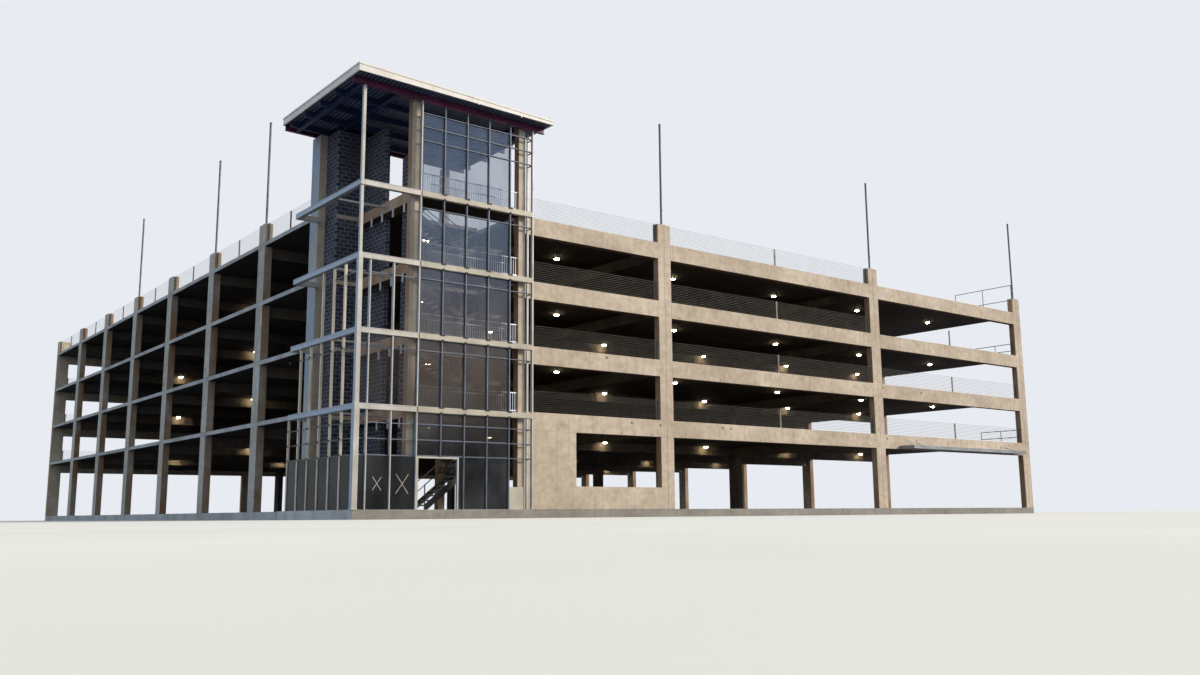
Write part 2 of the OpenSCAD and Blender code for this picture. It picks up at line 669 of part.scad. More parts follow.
// Frame of the entry opening and the panel that fills the foot of the right bay
entry_x = mullion_x[0] + mullion_w / 2;
module entry_frame() color("ghostwhite") {
    for (x = [entry_x, entry_x + entry_w - entry_frame_w])
        box([x, tower_y - mullion_d / 2, ground_z], [entry_frame_w, mullion_d, entry_top_z - ground_z]);
    box([entry_x, tower_y - mullion_d / 2, entry_top_z - entry_frame_w], [entry_w, mullion_d, entry_frame_w]);
}
infill_t = 20;
module infill_panel() color("antiquewhite")
    box([mullion_x[curtain_bays - 1] + mullion_w / 2, tower_y - infill_t / 2, ground_z],
        [infill_w, infill_t, infill_h]);

// Glass, one pane for each row and bay. The right bay and the highest rows of two storeys are open.
glazed_bays = curtain_bays - 1;
glazed_rows = [3, 2, 2, 1, 3];
module pane(x0, x1, s, k)
    box([x0, tower_y - glass_t / 2, row_z0(s, k)], [x1 - x0, glass_t, row_z1(s, k) - row_z0(s, k)]);
function corner_edges(s) = [tower_x + post_at[s] / 2, corner_x[0] - mullion_w / 2,
    corner_x[0] + mullion_w / 2, corner_x[1] - mullion_w / 2, corner_x[1] + mullion_w / 2,
    mullion_x[0] - mullion_w / 2];
corner_panes = [[0, 0], [1, 0], [1, 1]];
module front_glass() color("lightsteelblue") {
    for (s = [0:4], k = [0:glazed_rows[s] - 1], i = [0:glazed_bays - 1])
        pane(mullion_x[i] + mullion_w / 2, mullion_x[i + 1] - mullion_w / 2, s, s == 0 ? k + 1 : k);
    for (i = [2:glazed_bays - 1])
        pane(mullion_x[i] + mullion_w / 2, mullion_x[i + 1] - mullion_w / 2, 0, 0);
    pane(entry_x + entry_w, mullion_x[2] - mullion_w / 2, 0, 0);
    for (at = corner_panes, e = [0:2:4])
        pane(corner_edges(at[0])[e], corner_edges(at[0])[e + 1], at[0], at[1]);
}
left_edges = [tower_y + post_w / 2, for (y = stud_y) y + stud_w / 2];
module left_glass() color("darkslategray") for (k = [0:stud_counts[0] - 1])
    box([tower_x - glass_t / 2, left_edges[k], ground_z],
        [glass_t, stud_y[k] - stud_w / 2 - left_edges[k], entry_top_z - ground_z]);

// Picket guards: one behind the curtain wall and one at the stair's side of the front landing
guard_back = 40;
well_guard_back = 60;
guard_foot = 60;
module guard(x0, x1, y, z0) {
    for (h = [guard_foot, guard_h - guard_rail_d])
        box([x0, y, z0 + h], [x1 - x0, guard_rail_d, guard_rail_d]);
    for (k = [0:floor((x1 - x0 - picket_w) / picket_pitch)])
        box([x0 + k * picket_pitch, y + (guard_rail_d - picket_w) / 2, z0], [picket_w, picket_w, guard_h]);
}
module floor_guards() color("lightslategray") for (z = level_z) {
    guard(wall_x1, col_r_x, tower_y + ring_w + guard_back, z - landing_drop);
    guard(stair_x, col_r_x, stair_y - well_guard_back, z - landing_drop);
}

// Switchback stair behind the front landing, two flights a storey, each on two stringers
flight_l = (riser_count - 1) * tread_going;
floor_z0 = [ground_z, for (i = [0:2]) level_z[i] - landing_drop];
flight_rise = [for (i = [0:3]) (level_z[i] - landing_drop - floor_z0[i]) / 2];
// Places one flight: along +X from its foot, or back along -X
module flight_at(i, upper) {
    y = upper ? stair_y + flight_w + flight_gap : stair_y;
    x = upper ? stair_x + flight_l : stair_x;
    translate([x, y, floor_z0[i] + (upper ? flight_rise[i] : 0)]) mirror([upper ? 1 : 0, 0, 0]) children();
}
module treads(riser) for (k = [0:riser_count - 2])
    box([k * tread_going, stringer_t, (k + 1) * riser - tread_t],
        [tread_going, flight_w - 2 * stringer_t, tread_t]);
module stringers(riser) {
    rise = riser * riser_count;
    for (y = [0, flight_w - stringer_t]) translate([0, y + stringer_t, 0]) rotate([90, 0, 0])
        linear_extrude(height = stringer_t) polygon([[0, 0], [tread_going * (stringer_h / riser - 1), 0],
            [flight_l, rise - stringer_h], [flight_l, rise], [0, riser]]);
}
// Handrail over a stringer: two posts, a top bar and a middle one, all with the flight's slope
module handrails(riser) {
    function nosing(x) = riser + x * riser * (riser_count - 1) / flight_l;
    foot = handrail_t;
    head = flight_l - handrail_t;
    module bar(x0, x1, h) polygon([[x0, nosing(x0) + h - handrail_t], [x1, nosing(x1) + h - handrail_t],
        [x1, nosing(x1) + h], [x0, nosing(x0) + h]]);
    for (y = [0, flight_w - stringer_t]) translate([0, y + stringer_t, 0]) rotate([90, 0, 0])
        linear_extrude(height = stringer_t) {
            for (x = [0, head]) polygon([[x, nosing(x)], [x + foot, nosing(x + foot)],
                [x + foot, nosing(x + foot) + handrail_h], [x, nosing(x) + handrail_h]]);
            for (h = [handrail_h / 2, handrail_h]) bar(0, flight_l, h);
        }
}
module stair_flights() color("gainsboro") for (i = [0:3], upper = [false, true])
    flight_at(i, upper) treads(flight_rise[i] / riser_count);
module stair_stringers() color("slategray") for (i = [0:3], upper = [false, true])
    flight_at(i, upper) stringers(flight_rise[i] / riser_count);
module stair_handrails() color("lightslategray") for (i = [0:3], upper = [false, true])
    flight_at(i, upper) handrails(flight_rise[i] / riser_count);

// Half landings at the right end of the flights, on beams between the two right columns
landing_beam_h = 150;
half_z = [for (i = [0:3]) floor_z0[i] + flight_rise[i]];
module stair_landings() color("gainsboro") for (z = half_z)
    box([stair_x + flight_l, stair_y, z - landing_t],
        [col_r_x - stair_x - flight_l, stair_y1 - stair_y, landing_t]);
module landing_beams() color("gray") for (z = half_z)
    box([col_r_x, tower_col_y1, z - landing_beam_h],
        [tower_col_w, tower_back_y - tower_col_w - tower_col_y1, landing_beam_h]);

// Steel frame of the roof, all with the roof's fall: a front and a rear beam, girders between them,
// joists between the girders and out to the edge boards, which get thinner to the right
module sloped(x0, x1, y, l, z, h, h1) translate([0, y + l, 0]) rotate([90, 0, 0])
    linear_extrude(height = l) polygon([[x0, z - roof_fall_at(x0)], [x1, z - roof_fall_at(x1)],
        [x1, z + h1 - roof_fall_at(x1)], [x0, z + h - roof_fall_at(x0)]]);
module even_bar(x0, x1, y, l, z, h) sloped(x0, x1, y, l, z, h, h);
roof_x1 = roof_x + roof_w;
roof_y1 = roof_y + roof_l;
frame_x0 = roof_x + edge_board_t;
frame_x1 = roof_x1 - edge_board_t;
front_beam_y1 = tower_y + roof_beam_w / 2;
rear_beam_y = roof_y1 - edge_board_t - roof_beam_w;
module roof_beams() color("maroon") for (y = [tower_y - roof_beam_w / 2, rear_beam_y])
    even_bar(frame_x0, frame_x1, y, roof_beam_w, roof_beam_z, roof_beam_h);
girder_x = [tower_x - roof_beam_w / 2, tower_x + girder_in, col_r_x];
girder_y = [front_beam_y1, front_beam_y1, tower_col_y1];
module roof_girders() color("midnightblue") for (i = [0:2])
    even_bar(girder_x[i], girder_x[i] + roof_beam_w, girder_y[i], rear_beam_y - girder_y[i],
        roof_beam_z, roof_beam_h);
joist_w = 60;
joist_y = [for (k = [1:4]) front_beam_y1 + k * joist_pitch];
joist_x0 = [frame_x0, for (x = girder_x) x + roof_beam_w];
joist_x1 = [for (x = girder_x) x, frame_x1];
module roof_joists() color("midnightblue") for (y = joist_y, i = [0:3])
    even_bar(joist_x0[i], joist_x1[i], y, joist_w, roof_beam_z, roof_beam_h);
module roof_sheet() color("midnightblue")
    even_bar(frame_x0, frame_x1, roof_y + edge_board_t, roof_l - 2 * edge_board_t, roof_z, roof_sheet_t);
module roof_edge_boards() color("antiquewhite") difference() {
    sloped(roof_x, roof_x1, roof_y, roof_l, roof_z, roof_t, roof_t - roof_taper);
    even_bar(frame_x0, frame_x1, roof_y + edge_board_t, roof_l - 2 * edge_board_t, roof_z - 1, roof_t + 2);
}

ground_slab();
deck_level_2();
deck_level_3();
deck_level_4();
roof_deck();
front_columns();
left_columns();
inner_columns();
right_columns();
rear_columns();
front_edge_beams();
rear_edge_beams();
cross_beams();
line_beams();
full_height_wall();
low_front_wall();
entry_canopy();
canopy_rods();
ceiling_lights();
lamp_masts();
cable_barrier_level_2();
cable_barrier_level_3();
cable_barrier_level_4();
cable_barrier_roof();
pipe_guards();
tower_columns();
tower_floors();
stair_wall_beams();
lift_shaft();
shaft_bands();
stair_wall();
beam_hangers();
corner_post();
ring_tubes();
tie_tubes();
spandrel_bands();
left_studs();
corner_mullions();
curtain_mullions();
curtain_transoms();
end_tube();
entry_frame();
infill_panel();
front_glass();
left_glass();
floor_guards();
stair_flights();
stair_stringers();
stair_handrails();
stair_landings();
landing_beams();
roof_beams();
roof_girders();
roof_joists();
roof_sheet();
roof_edge_boards();
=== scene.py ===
"""Multi storey car park under construction, a scale model at 1:2. Lengths are metres of the model.

The CAD nodes carry every shape that stands, fastens or bears load. This script adds what is finer:
block courses, rolled sections, profiled sheet, covers, gaskets, cable fittings, plates, bolts, form
marks and lamps. Each is worked out as whole arrays from the places of the CAD solids.
"""

import json

import bpy
import numpy as np
from mathutils import Matrix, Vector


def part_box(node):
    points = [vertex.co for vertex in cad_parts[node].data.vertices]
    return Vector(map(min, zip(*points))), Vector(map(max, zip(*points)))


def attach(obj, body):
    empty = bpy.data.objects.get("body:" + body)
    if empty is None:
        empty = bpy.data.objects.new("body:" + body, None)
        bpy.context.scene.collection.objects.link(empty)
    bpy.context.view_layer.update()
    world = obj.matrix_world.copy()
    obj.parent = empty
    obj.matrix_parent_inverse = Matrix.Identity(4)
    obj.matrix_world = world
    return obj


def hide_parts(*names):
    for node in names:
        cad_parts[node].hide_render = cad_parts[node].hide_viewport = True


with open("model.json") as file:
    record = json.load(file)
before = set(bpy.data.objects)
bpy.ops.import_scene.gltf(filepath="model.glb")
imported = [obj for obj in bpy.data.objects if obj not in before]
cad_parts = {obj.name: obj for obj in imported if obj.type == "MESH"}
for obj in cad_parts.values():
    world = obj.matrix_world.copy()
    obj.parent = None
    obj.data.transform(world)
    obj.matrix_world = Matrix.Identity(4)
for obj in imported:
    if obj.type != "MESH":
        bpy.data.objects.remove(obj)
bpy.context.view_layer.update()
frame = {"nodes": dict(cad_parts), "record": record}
record = frame["record"]

X = np.array([1.0, 0.0, 0.0])
Y = np.array([0.0, 1.0, 0.0])
UP = np.array([0.0, 0.0, 1.0])
CORNERS = np.array([[-1.0, -1.0], [1.0, -1.0], [1.0, 1.0], [-1.0, 1.0]])


# Places of the CAD solids

def separate_solids(node):
    """The corner points of each solid of a CAD node.

    Equal corners of the triangles get one number. Each number then takes the lowest number that a
    triangle links it to, again and again, until every solid's corners share one number.
    """
    mesh = frame["nodes"][node].data
    points = np.empty(len(mesh.vertices) * 3)
    mesh.vertices.foreach_get("co", points)
    index = np.empty(len(mesh.loops), dtype=np.int64)
    mesh.loops.foreach_get("vertex_index", index)
    places, number = np.unique(np.round(points.reshape(-1, 3), 5), axis=0, return_inverse=True)
    triangles = number.ravel()[index].reshape(-1, 3)
    label = np.arange(len(places))
    while True:
        lower = label.copy()
        np.minimum.at(lower, triangles.ravel(), np.repeat(label[triangles].min(axis=1), 3))
        lower = lower[lower]
        if np.array_equal(lower, label):
            return [places[label == one] for one in np.unique(label)]
        label = lower


def box_corners(node):
    """Corners of a node's box-like solids, by solid, x side, y side, z side and coordinate."""
    found = []
    for points in separate_solids(node):
        if len(points) == 8:
            middle = (points.min(axis=0) + points.max(axis=0)) / 2
            order = np.lexsort((points[:, 2], points[:, 1] > middle[1], points[:, 0] > middle[0]))
            found.append(points[order].reshape(2, 2, 2, 3))
    return np.array(found)


def boxes_round(solids):
    """Lowest and highest corner of each solid, as two arrays."""
    return np.array([one.min(axis=0) for one in solids]), np.array([one.max(axis=0) for one in solids])


def solid_boxes(node):
    """Lowest and highest corner of each solid of a node, as two arrays."""
    return boxes_round(separate_solids(node))


def node_box(node):
    """Lowest and highest corner of a whole node, as two arrays."""
    return tuple(np.array(corner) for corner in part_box(node))


def inside(corners, x, y, z):
    """Places in box-like solids: the eight corners weighed by parts 0 to 1 along x, y and z."""
    return np.einsum("nijkc,im,jm,km->nmc", corners, np.stack([1 - x, x]), np.stack([1 - y, y]),
                     np.stack([1 - z, z]))


def places_at(x, y, z):
    """Places from their x, y and z in step, where a single number holds for all of them."""
    return np.stack(np.broadcast_arrays(x, y, z), axis=-1).reshape(-1, 3)


# Surfaces from whole arrays. A shape is its points and a list of face arrays.

def lofts(rings, closed=False):
    """Solids from rings of points, numbered by solid, station along, point round and coordinate.

    Faces with four sides join each ring to the next, and one face closes each end. With closed the
    last ring joins the first instead. A solid whose volume, summed over its faces, comes out below
    nothing has its rings turned round, so that all faces look outward.
    """
    n, stations, sides, _ = rings.shape
    if closed:
        rings = np.concatenate([rings, rings[:, :1]], axis=1)
    beside = np.roll(rings, -1, axis=2)
    a, b, c, d = rings[:, :-1], beside[:, :-1], beside[:, 1:], rings[:, 1:]
    volume = (a * (np.cross(b, c) + np.cross(c, d))).sum(axis=(1, 2, 3))
    if not closed:
        for ring, sign in ((rings[:, 0], -1), (rings[:, -1], 1)):
            fan = np.cross(ring[:, 1:-1], ring[:, 2:]).sum(axis=1)
            volume += sign * (ring[:, 0] * fan).sum(axis=1)
    rings = np.where((volume < 0)[:, None, None, None], rings[:, :, ::-1], rings)
    if closed:
        rings = rings[:, :-1]
    number = np.arange(n * stations * sides).reshape(n, stations, sides)
    ahead = np.roll(number, -1, axis=1) if closed else number[:, 1:]
    here = number if closed else number[:, :-1]
    faces = [np.stack([here, np.roll(here, -1, axis=2), np.roll(ahead, -1, axis=2), ahead],
                      axis=-1).reshape(-1, 4)]
    if not closed:
        faces.append(np.concatenate([number[:, 0, ::-1], number[:, -1]]))
    return rings.reshape(-1, 3), faces


def both_sides(left):
    """An outline from its left side's points: they follow again, mirrored and in reverse order."""
    return left + [(-across, out) for across, out in reversed(left)]


def runs(starts, ends, outline, first, second):
    """An outline carried straight from each start to each end.

    Outline points are distances along the directions first and second, added to both ends.
    """
    starts = np.asarray(starts, float)
    ends = np.asarray(ends, float)
    outline = np.asarray(outline, float)
    section = outline[:, :1] * first + outline[:, 1:] * second
    return lofts(np.stack([starts[:, None] + section, ends[:, None] + section], axis=1))


def stepped(middles, halves, right, up, stations):
    """Rectangles that step out of their plane, which right and up span.

    At each station a rectangle is drawn in by its inset, and moved along right x up by its height.
    """
    halves = np.broadcast_to(halves, (len(middles), 2))
    inset, height = np.asarray(stations, float).T
    half = halves[:, None, None, :] - inset[None, :, None, None]
    return lofts(np.asarray(middles)[:, None, None] + half[..., :1] * CORNERS[:, :1] * right
                 + half[..., 1:] * CORNERS[:, 1:] * up
                 + height[None, :, None, None] * np.cross(right, up))


def raised(middles, halves, normal, stations):
    """Upright rectangles that step out of a face which looks along normal."""
    return stepped(middles, halves, np.cross(UP, normal), UP, stations)


def flat(middles, halves, stations):
    """Level rectangles that step upward."""
    return stepped(middles, halves, X, Y, stations)


def turned(places, axis, profile, sides):
    """Turned shapes: each profile point, a radius and a distance along the axis, goes round it."""
    axis = np.asarray(axis, float) / np.linalg.norm(axis)
    across = np.cross(axis, X if abs(axis[0]) < 0.5 else Y)
    across /= np.linalg.norm(across)
    angle = np.arange(sides) * 2 * np.pi / sides
    circle = np.cos(angle)[:, None] * across + np.sin(angle)[:, None] * np.cross(axis, across)
    radius, along = np.asarray(profile, float).T
    return lofts(np.asarray(places)[:, None, None] + radius[None, :, None, None] * circle
                 + along[None, :, None, None] * axis)


def frames(middles, halves, right, normal, outline):
    """An outline carried round upright rectangles, mitred at their corners.

    Outline points are distances outward from the rectangle's edge and along the normal.
    """
    halves = np.broadcast_to(halves, (len(middles), 2))
    outward, off = np.asarray(outline, float).T
    reach = halves[:, None, None, :] + outward[None, None, :, None]
    corner = CORNERS[None, :, None, :] * reach
    return lofts(np.asarray(middles)[:, None, None] + corner[..., :1] * right
                 + corner[..., 1:] * UP + off[None, None, :, None] * normal, closed=True)


def joined(shapes):
    """Several shapes as one: the numbers in the later ones' faces move up."""
    points = []
    faces = []
    count = 0
    for more_points, more_faces in shapes:
        faces += [one + count for one in more_faces]
        points.append(more_points)
        count += len(more_points)
    return np.concatenate(points), faces


def add_object(name, shape, smooth=False):
    """An object with the shape as its mesh, in the scene. Smooth ones keep their steep edges."""
    points, faces = shape
    mesh = bpy.data.meshes.new(name)
    mesh.vertices.add(len(points))
    mesh.vertices.foreach_set("co", points.ravel())
    sizes = np.concatenate([np.full(len(one), one.shape[1]) for one in faces])
    corners = np.concatenate([one.ravel() for one in faces])
    mesh.loops.add(len(corners))
    mesh.loops.foreach_set("vertex_index", corners)
    mesh.polygons.add(len(sizes))
    mesh.polygons.foreach_set("loop_start", np.concatenate([[0], np.cumsum(sizes)[:-1]]))
    mesh.polygons.foreach_set("use_smooth", np.full(len(sizes), smooth))
    mesh.update(calc_edges=True)
    mesh.validate()
    if smooth:
        mesh.set_sharp_from_angle(angle=0.7)
    added = bpy.data.objects.new(name, mesh)
    bpy.context.scene.collection.objects.link(added)
    return added


def add_piece(name, slot, shape, instead_of=(), smooth=False, mark=0.0):
    """Puts a shape into the scene as one piece that finishes like its slot. The mark says how far
    its colour gives way to the finish's dark one."""
    piece = add_object(name, shape, smooth)
    if mark:
        stain = piece.data.attributes.new("mark", "FLOAT", "POINT")
        stain.data.foreach_set("value", np.full(len(piece.data.vertices), mark))
    piece.data.materials.append(finishes[slot])
    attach(piece, "root")
    if instead_of:
        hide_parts(*instead_of)


# Finishes

finishes = {}
LEFT = (-1.0, 0.0, 0.0)
FRONT = (0.0, -1.0, 0.0)
DOWN = (0.0, 0.0, -1.0)
DECK_SHIFT = (12.94, 8.79, 0.0)


def shade(red, green, blue):
    """A colour given as 0 to 255, made linear: below 0.04 a straight line, above it a power curve."""
    value = np.array([red, green, blue]) / 255
    value = np.where(value <= 0.04045, value / 12.92, ((value + 0.055) / 1.055) ** 2.4)
    return (*value.tolist(), 1.0)


class Nodes:
    """A tree of shader nodes. Each method adds a node and gives its result."""

    def __init__(self, tree):
        self.tree = tree

    def add(self, kind, inputs=(), out=0, **settings):
        """A node of any kind, with its inputs linked or set."""
        made = self.tree.nodes.new("ShaderNode" + kind)
        for key, value in settings.items():
            setattr(made, key, value)
        for key, value in dict(inputs).items():
            self.put(made.inputs[key], value)
        return made.outputs[out]

    def put(self, socket, value):
        """Links a result to an input, or sets the input to a plain value."""
        if isinstance(value, bpy.types.NodeSocket):
            self.tree.links.new(value, socket)
        else:
            socket.default_value = value

    def math(self, operation, first, second=0.0):
        """A sum, product or other operation on two values."""
        return self.add("Math", {0: first, 1: second}, operation=operation)


class Finish(Nodes):
    """The nodes of one material, with patterns that lie on the piece's own place."""

    def __init__(self, name):
        self.material = bpy.data.materials.new(name)
        self.material.use_nodes = True
        super().__init__(self.material.node_tree)
        self.surface = self.tree.nodes["Principled BSDF"]
        self.place = self.add("TexCoord", out="Object")
        finishes[name] = self.material

    def axes(self):
        """x, y and z of the place, as three values."""
        apart = self.tree.nodes.new("ShaderNodeSeparateXYZ")
        self.put(apart.inputs[0], self.place)
        return tuple(apart.outputs)

    def stretched(self, x, y, z):
        """The place, with each coordinate multiplied."""
        return self.add("Mapping", {"Vector": self.place, "Scale": (x, y, z)})

    def noise(self, scale, detail=4.0, place=None):
        """Clouds of 0 to 1, finer with the scale."""
        return self.add("TexNoise", {"Vector": place or self.place, "Scale": scale, "Detail": detail})

    def spread(self, value, low, high, start=0.0, end=1.0):
        """A straight line from start at low to end at high, level beyond them."""
        return self.add("MapRange", {0: value, 1: low, 2: high, 3: start, 4: end})

    def mix(self, part, first, second, blend="MIX"):
        """The first colour, by the part given way to the second."""
        return self.add("Mix", {0: part, 6: first, 7: second}, out=2, data_type="RGBA",
                        blend_type=blend)

    def tinted(self, first, second, part=1.0):
        """The first colour, by the part multiplied with the second."""
        return self.mix(part, first, second, "MULTIPLY")

    def dimmed(self, colour, value):
        """The colour times a value."""
        return self.tinted(colour, self.add("CombineColor", {0: value, 1: value, 2: value}))

    def marked(self, colour, dark):
        """The colour, which gives way to the dark one as far as the piece's mark says."""
        return self.mix(self.add("Attribute", out="Fac", attribute_name="mark"), colour, dark)

    def courses(self, place, colours, joint, soft, length, height, offset=0.0):
        """Rectangles in courses with joints between. Colours are the two of the rectangles and the
        joints' own, and each second course is shifted by the offset's part of a length."""
        return self.add("TexBrick", {"Vector": place, "Color1": colours[0], "Color2": colours[1],
                                     "Mortar": colours[2], "Scale": 1.0, "Mortar Size": joint,
                                     "Mortar Smooth": soft, "Brick Width": length,
                                     "Row Height": height}, offset=offset, squash=1.0)

    def bump(self, height, distance, strength=1.0):
        """Normals tilted by the slope of the height."""
        return self.add("Bump", {"Height": height, "Distance": distance, "Strength": strength})

    def wall_place(self):
        """Places on upright faces: x plus y along the wall, z up it."""
        x, y, z = self.axes()
        return self.add("CombineXYZ", {0: self.math("ADD", x, y), 1: z})

    def deck_place(self):
        """Places on level faces, counted from the front left corner of the decks."""
        return self.add("Mapping", {"Vector": self.place, "Location": DECK_SHIFT})

    def facing(self, x, y, z):
        """One on faces that look along the direction, nothing on faces that look another way."""
        along = self.add("VectorMath", {0: self.add("NewGeometry", out="Normal"), 1: (x, y, z)},
                         out="Value", operation="DOT_PRODUCT")
        return self.spread(along, 0.4, 0.8)

    def done(self, **sockets):
        """Links or sets the inputs of the surface."""
        for key, value in sockets.items():
            self.put(self.surface.inputs[key.replace("_", " ")], value)


PAINTED_LEFT_SHADE_TURNS = (-12.6, -12.5)
BOARD_TONES = [(1.0, 1.0, 1.0, 1.0), (0.93, 0.93, 0.93, 1.0), (0.62, 0.60, 0.58, 1.0)]
DECK_JOINT = 0.02
BOARD_JOINT = 0.003


def concrete(name, pale, dark, stain, soffit_shade, streak, panel=(1.2, 0.6), level=False,
             looking=LEFT, own=None, painted_left_shade=None):
    """Cast concrete: clouds, streaks that run down, panel joints, pores, and painted shade on the
    undersides. Faces that look along one direction may carry patches of a painted side tone, and
    left of the tower's front column a painted blue grey shade. The joints of a level one lie on its
    top."""
    f = Finish(name)
    cloud = f.spread(f.noise(0.9, 6.0), 0.36, 0.66)
    colour = f.mix(cloud, dark, pale)
    patch = f.spread(f.noise(3.1, 5.0, f.stretched(1.0, 1.0, 1.6)), 0.5, 0.72, 0.0, 0.3)
    colour = f.mix(patch, colour, stain)
    run = f.spread(f.noise(1.0, 5.0, f.stretched(9.0, 9.0, 0.5)), 0.5, 0.78, 0.0, streak)
    colour = f.mix(run, colour, stain)
    colour = f.dimmed(colour, f.spread(f.noise(6.5, 6.0), 0.34, 0.66, 0.86, 1.06))
    # Painted shade: left of the tower's front column the left faces take a cool blue grey, the sky-lit
    # shade of the tower's back column.
    if painted_left_shade:
        own = f.mix(f.spread(f.axes()[0], *PAINTED_LEFT_SHADE_TURNS), painted_left_shade, own)
    # Painted side tone: the own colour, in patches, on faces that look along the direction. It stands
    # for the light or shade that side gets, and each finish below says which.
    if own:
        part = f.spread(f.noise(1.6, 5.0, f.stretched(1.0, 1.0, 0.6)), 0.3, 0.6, 0.4, 1.0)
        colour = f.mix(f.math("MULTIPLY", f.facing(*looking), part), colour, own)
    place, joint = (f.deck_place(), DECK_JOINT) if level else (f.wall_place(), BOARD_JOINT)
    colour = f.tinted(colour, f.courses(place, BOARD_TONES, joint, 0.6, *panel), 0.5)
    # Painted shade: faces that look down are multiplied by a dark brown, the shade under beams and
    # decks.
    colour = f.tinted(colour, soffit_shade, f.facing(*DOWN))
    # Marked pieces give way to a dark grey: painted shade of a recess on the cone holes and pockets,
    # the joints' own dark on the fins and pour joints.
    colour = f.marked(colour, shade(70, 62, 52))
    grain = f.noise(55.0, 6.0)
    pore = f.spread(f.add("TexVoronoi", {"Vector": f.place, "Scale": 26.0}), 0.05, 0.16)
    height = f.math("ADD", f.math("MULTIPLY", grain, 0.5), f.math("MULTIPLY", pore, 0.35))
    rough = f.spread(f.noise(4.0), 0.3, 0.7, 0.78, 0.95)
    f.done(Base_Color=colour, Roughness=rough, Normal=f.bump(height, 0.004, 0.5))


BLOCK_L = 0.2
BLOCK_H = 0.1


def blockwork(name):
    """Bare blocks: each has its own grey, with pale mortar between and a coarse face."""
    f = Finish(name)
    tones = [shade(82, 83, 94), shade(54, 57, 72), shade(150, 150, 156)]
    blocks = f.courses(f.wall_place(), tones, 0.009, 0.3, BLOCK_L, BLOCK_H, offset=0.5)
    colour = f.dimmed(blocks, f.spread(f.noise(1.1, 5.0), 0.35, 0.7, 0.6, 1.0))
    rust = f.spread(f.noise(0.6, 4.0), 0.5, 0.7, 0.0, 0.35)
    colour = f.mix(rust, colour, shade(104, 80, 66))
    f.done(Base_Color=colour, Roughness=0.95, Normal=f.bump(f.noise(90.0, 8.0), 0.004, 0.8))


def paint(name, pale, worn, metal=0.0, rough=0.45, dirt=0.3, underside_shade=None, left=None):
    """Painted or primed metal: slow changes of tone, dirt that runs down, fine orange peel. Faces that
    look down may carry painted shade, faces to the left a painted sky light, and marked pieces are
    nearly black."""
    f = Finish(name)
    colour = f.mix(f.spread(f.noise(2.2, 4.0), 0.35, 0.68), worn, pale)
    run = f.spread(f.noise(1.0, 4.0, f.stretched(14.0, 14.0, 1.2)), 0.55, 0.8, 0.0, dirt)
    colour = f.mix(run, colour, shade(92, 86, 78))
    # Painted shade: faces that look down take the colour given for faces below.
    if underside_shade:
        colour = f.mix(f.facing(*DOWN), colour, underside_shade)
    # Painted light: faces that look left take a blue grey, the sky light they get on that side.
    if left:
        colour = f.mix(f.math("MULTIPLY", f.facing(*LEFT), 0.7), colour, left)
    colour = f.marked(colour, shade(16, 17, 24))
    gloss = f.spread(f.noise(12.0, 3.0), 0.3, 0.7, rough - 0.1, rough + 0.16)
    f.done(Base_Color=colour, Metallic=metal, Roughness=gloss,
           Normal=f.bump(f.noise(160.0, 2.0), 0.0006, 0.5))


def galvanised(name, pale, dark):
    """Zinc: crystals of slightly different grey and dull patches."""
    f = Finish(name)
    flake = f.add("TexVoronoi", {"Vector": f.place, "Scale": 70.0}, out="Color")
    tone = f.spread(f.add("RGBToBW", {0: flake}), 0.0, 1.0, 0.0, 0.5)
    dull = f.spread(f.noise(3.0), 0.4, 0.7, 0.5, 0.72)
    f.done(Base_Color=f.mix(tone, pale, dark), Metallic=0.35, Roughness=dull,
           Normal=f.bump(f.noise(120.0, 3.0), 0.0005, 0.4))


GLASS_LEVELS = (1.5, 3.4, 7.0)
CORNER_PANES_END = (-12.02, -12.01)
LOWEST_PANES_TOP = (1.34, 1.36)
CORNER_PANES_COVER = 0.2


def glass(name, shade_and_sky_tints, covers, mirror):
    """Tinted glass that shows what stands behind it. Tints and covers, which say how little shows
    through, are those of the ground, of the second level and of the top, with straight lines
    between. The tints are painted: near black low down is painted shade of the dark inside, which
    the high covers there make a nearly opaque sheet, and blue grey high up is a painted reflection
    of the sky. A thin film of dust lies on it in clouds. The corner panes over the lowest ones are
    nearly clear."""
    f = Finish(name)
    x, _, z = f.axes()
    rise = f.spread(z, GLASS_LEVELS[0], GLASS_LEVELS[1])
    rise_on = f.spread(z, GLASS_LEVELS[1], GLASS_LEVELS[2])
    # Painted shade and painted reflection: the tint runs from near black at the ground to sky blue grey
    # at the top.
    shade_and_sky_tint = f.mix(rise_on, f.mix(rise, shade_and_sky_tints[0], shade_and_sky_tints[1]), shade_and_sky_tints[2])
    dust = f.spread(f.noise(1.1, 6.0, f.stretched(1.0, 1.0, 0.7)), 0.4, 0.72)
    colour = f.mix(f.math("MULTIPLY", dust, 0.15), shade_and_sky_tint, shade(140, 140, 142))
    cover = f.spread(rise_on, 0.0, 1.0, covers[1], covers[2])
    cover = f.math("ADD", cover, f.spread(rise, 0.0, 1.0, covers[0] - covers[1], 0.0))
    cover = f.math("ADD", cover, f.math("MULTIPLY", dust, 0.12))
    corner = f.math("MULTIPLY", f.spread(x, *CORNER_PANES_END, 1.0, 0.0),
                    f.spread(z, *LOWEST_PANES_TOP))
    cover = f.math("MULTIPLY", cover, f.spread(corner, 0.0, 1.0, 1.0, CORNER_PANES_COVER))
    f.surface.inputs["Alpha"].default_value = covers[1]
    f.done(Base_Color=colour, Roughness=f.spread(dust, 0.0, 1.0, 0.04, 0.2), Alpha=cover,
           IOR=1.45, Specular_IOR_Level=mirror,
           Normal=f.bump(f.noise(1.3, 2.0), 0.002, 0.2))


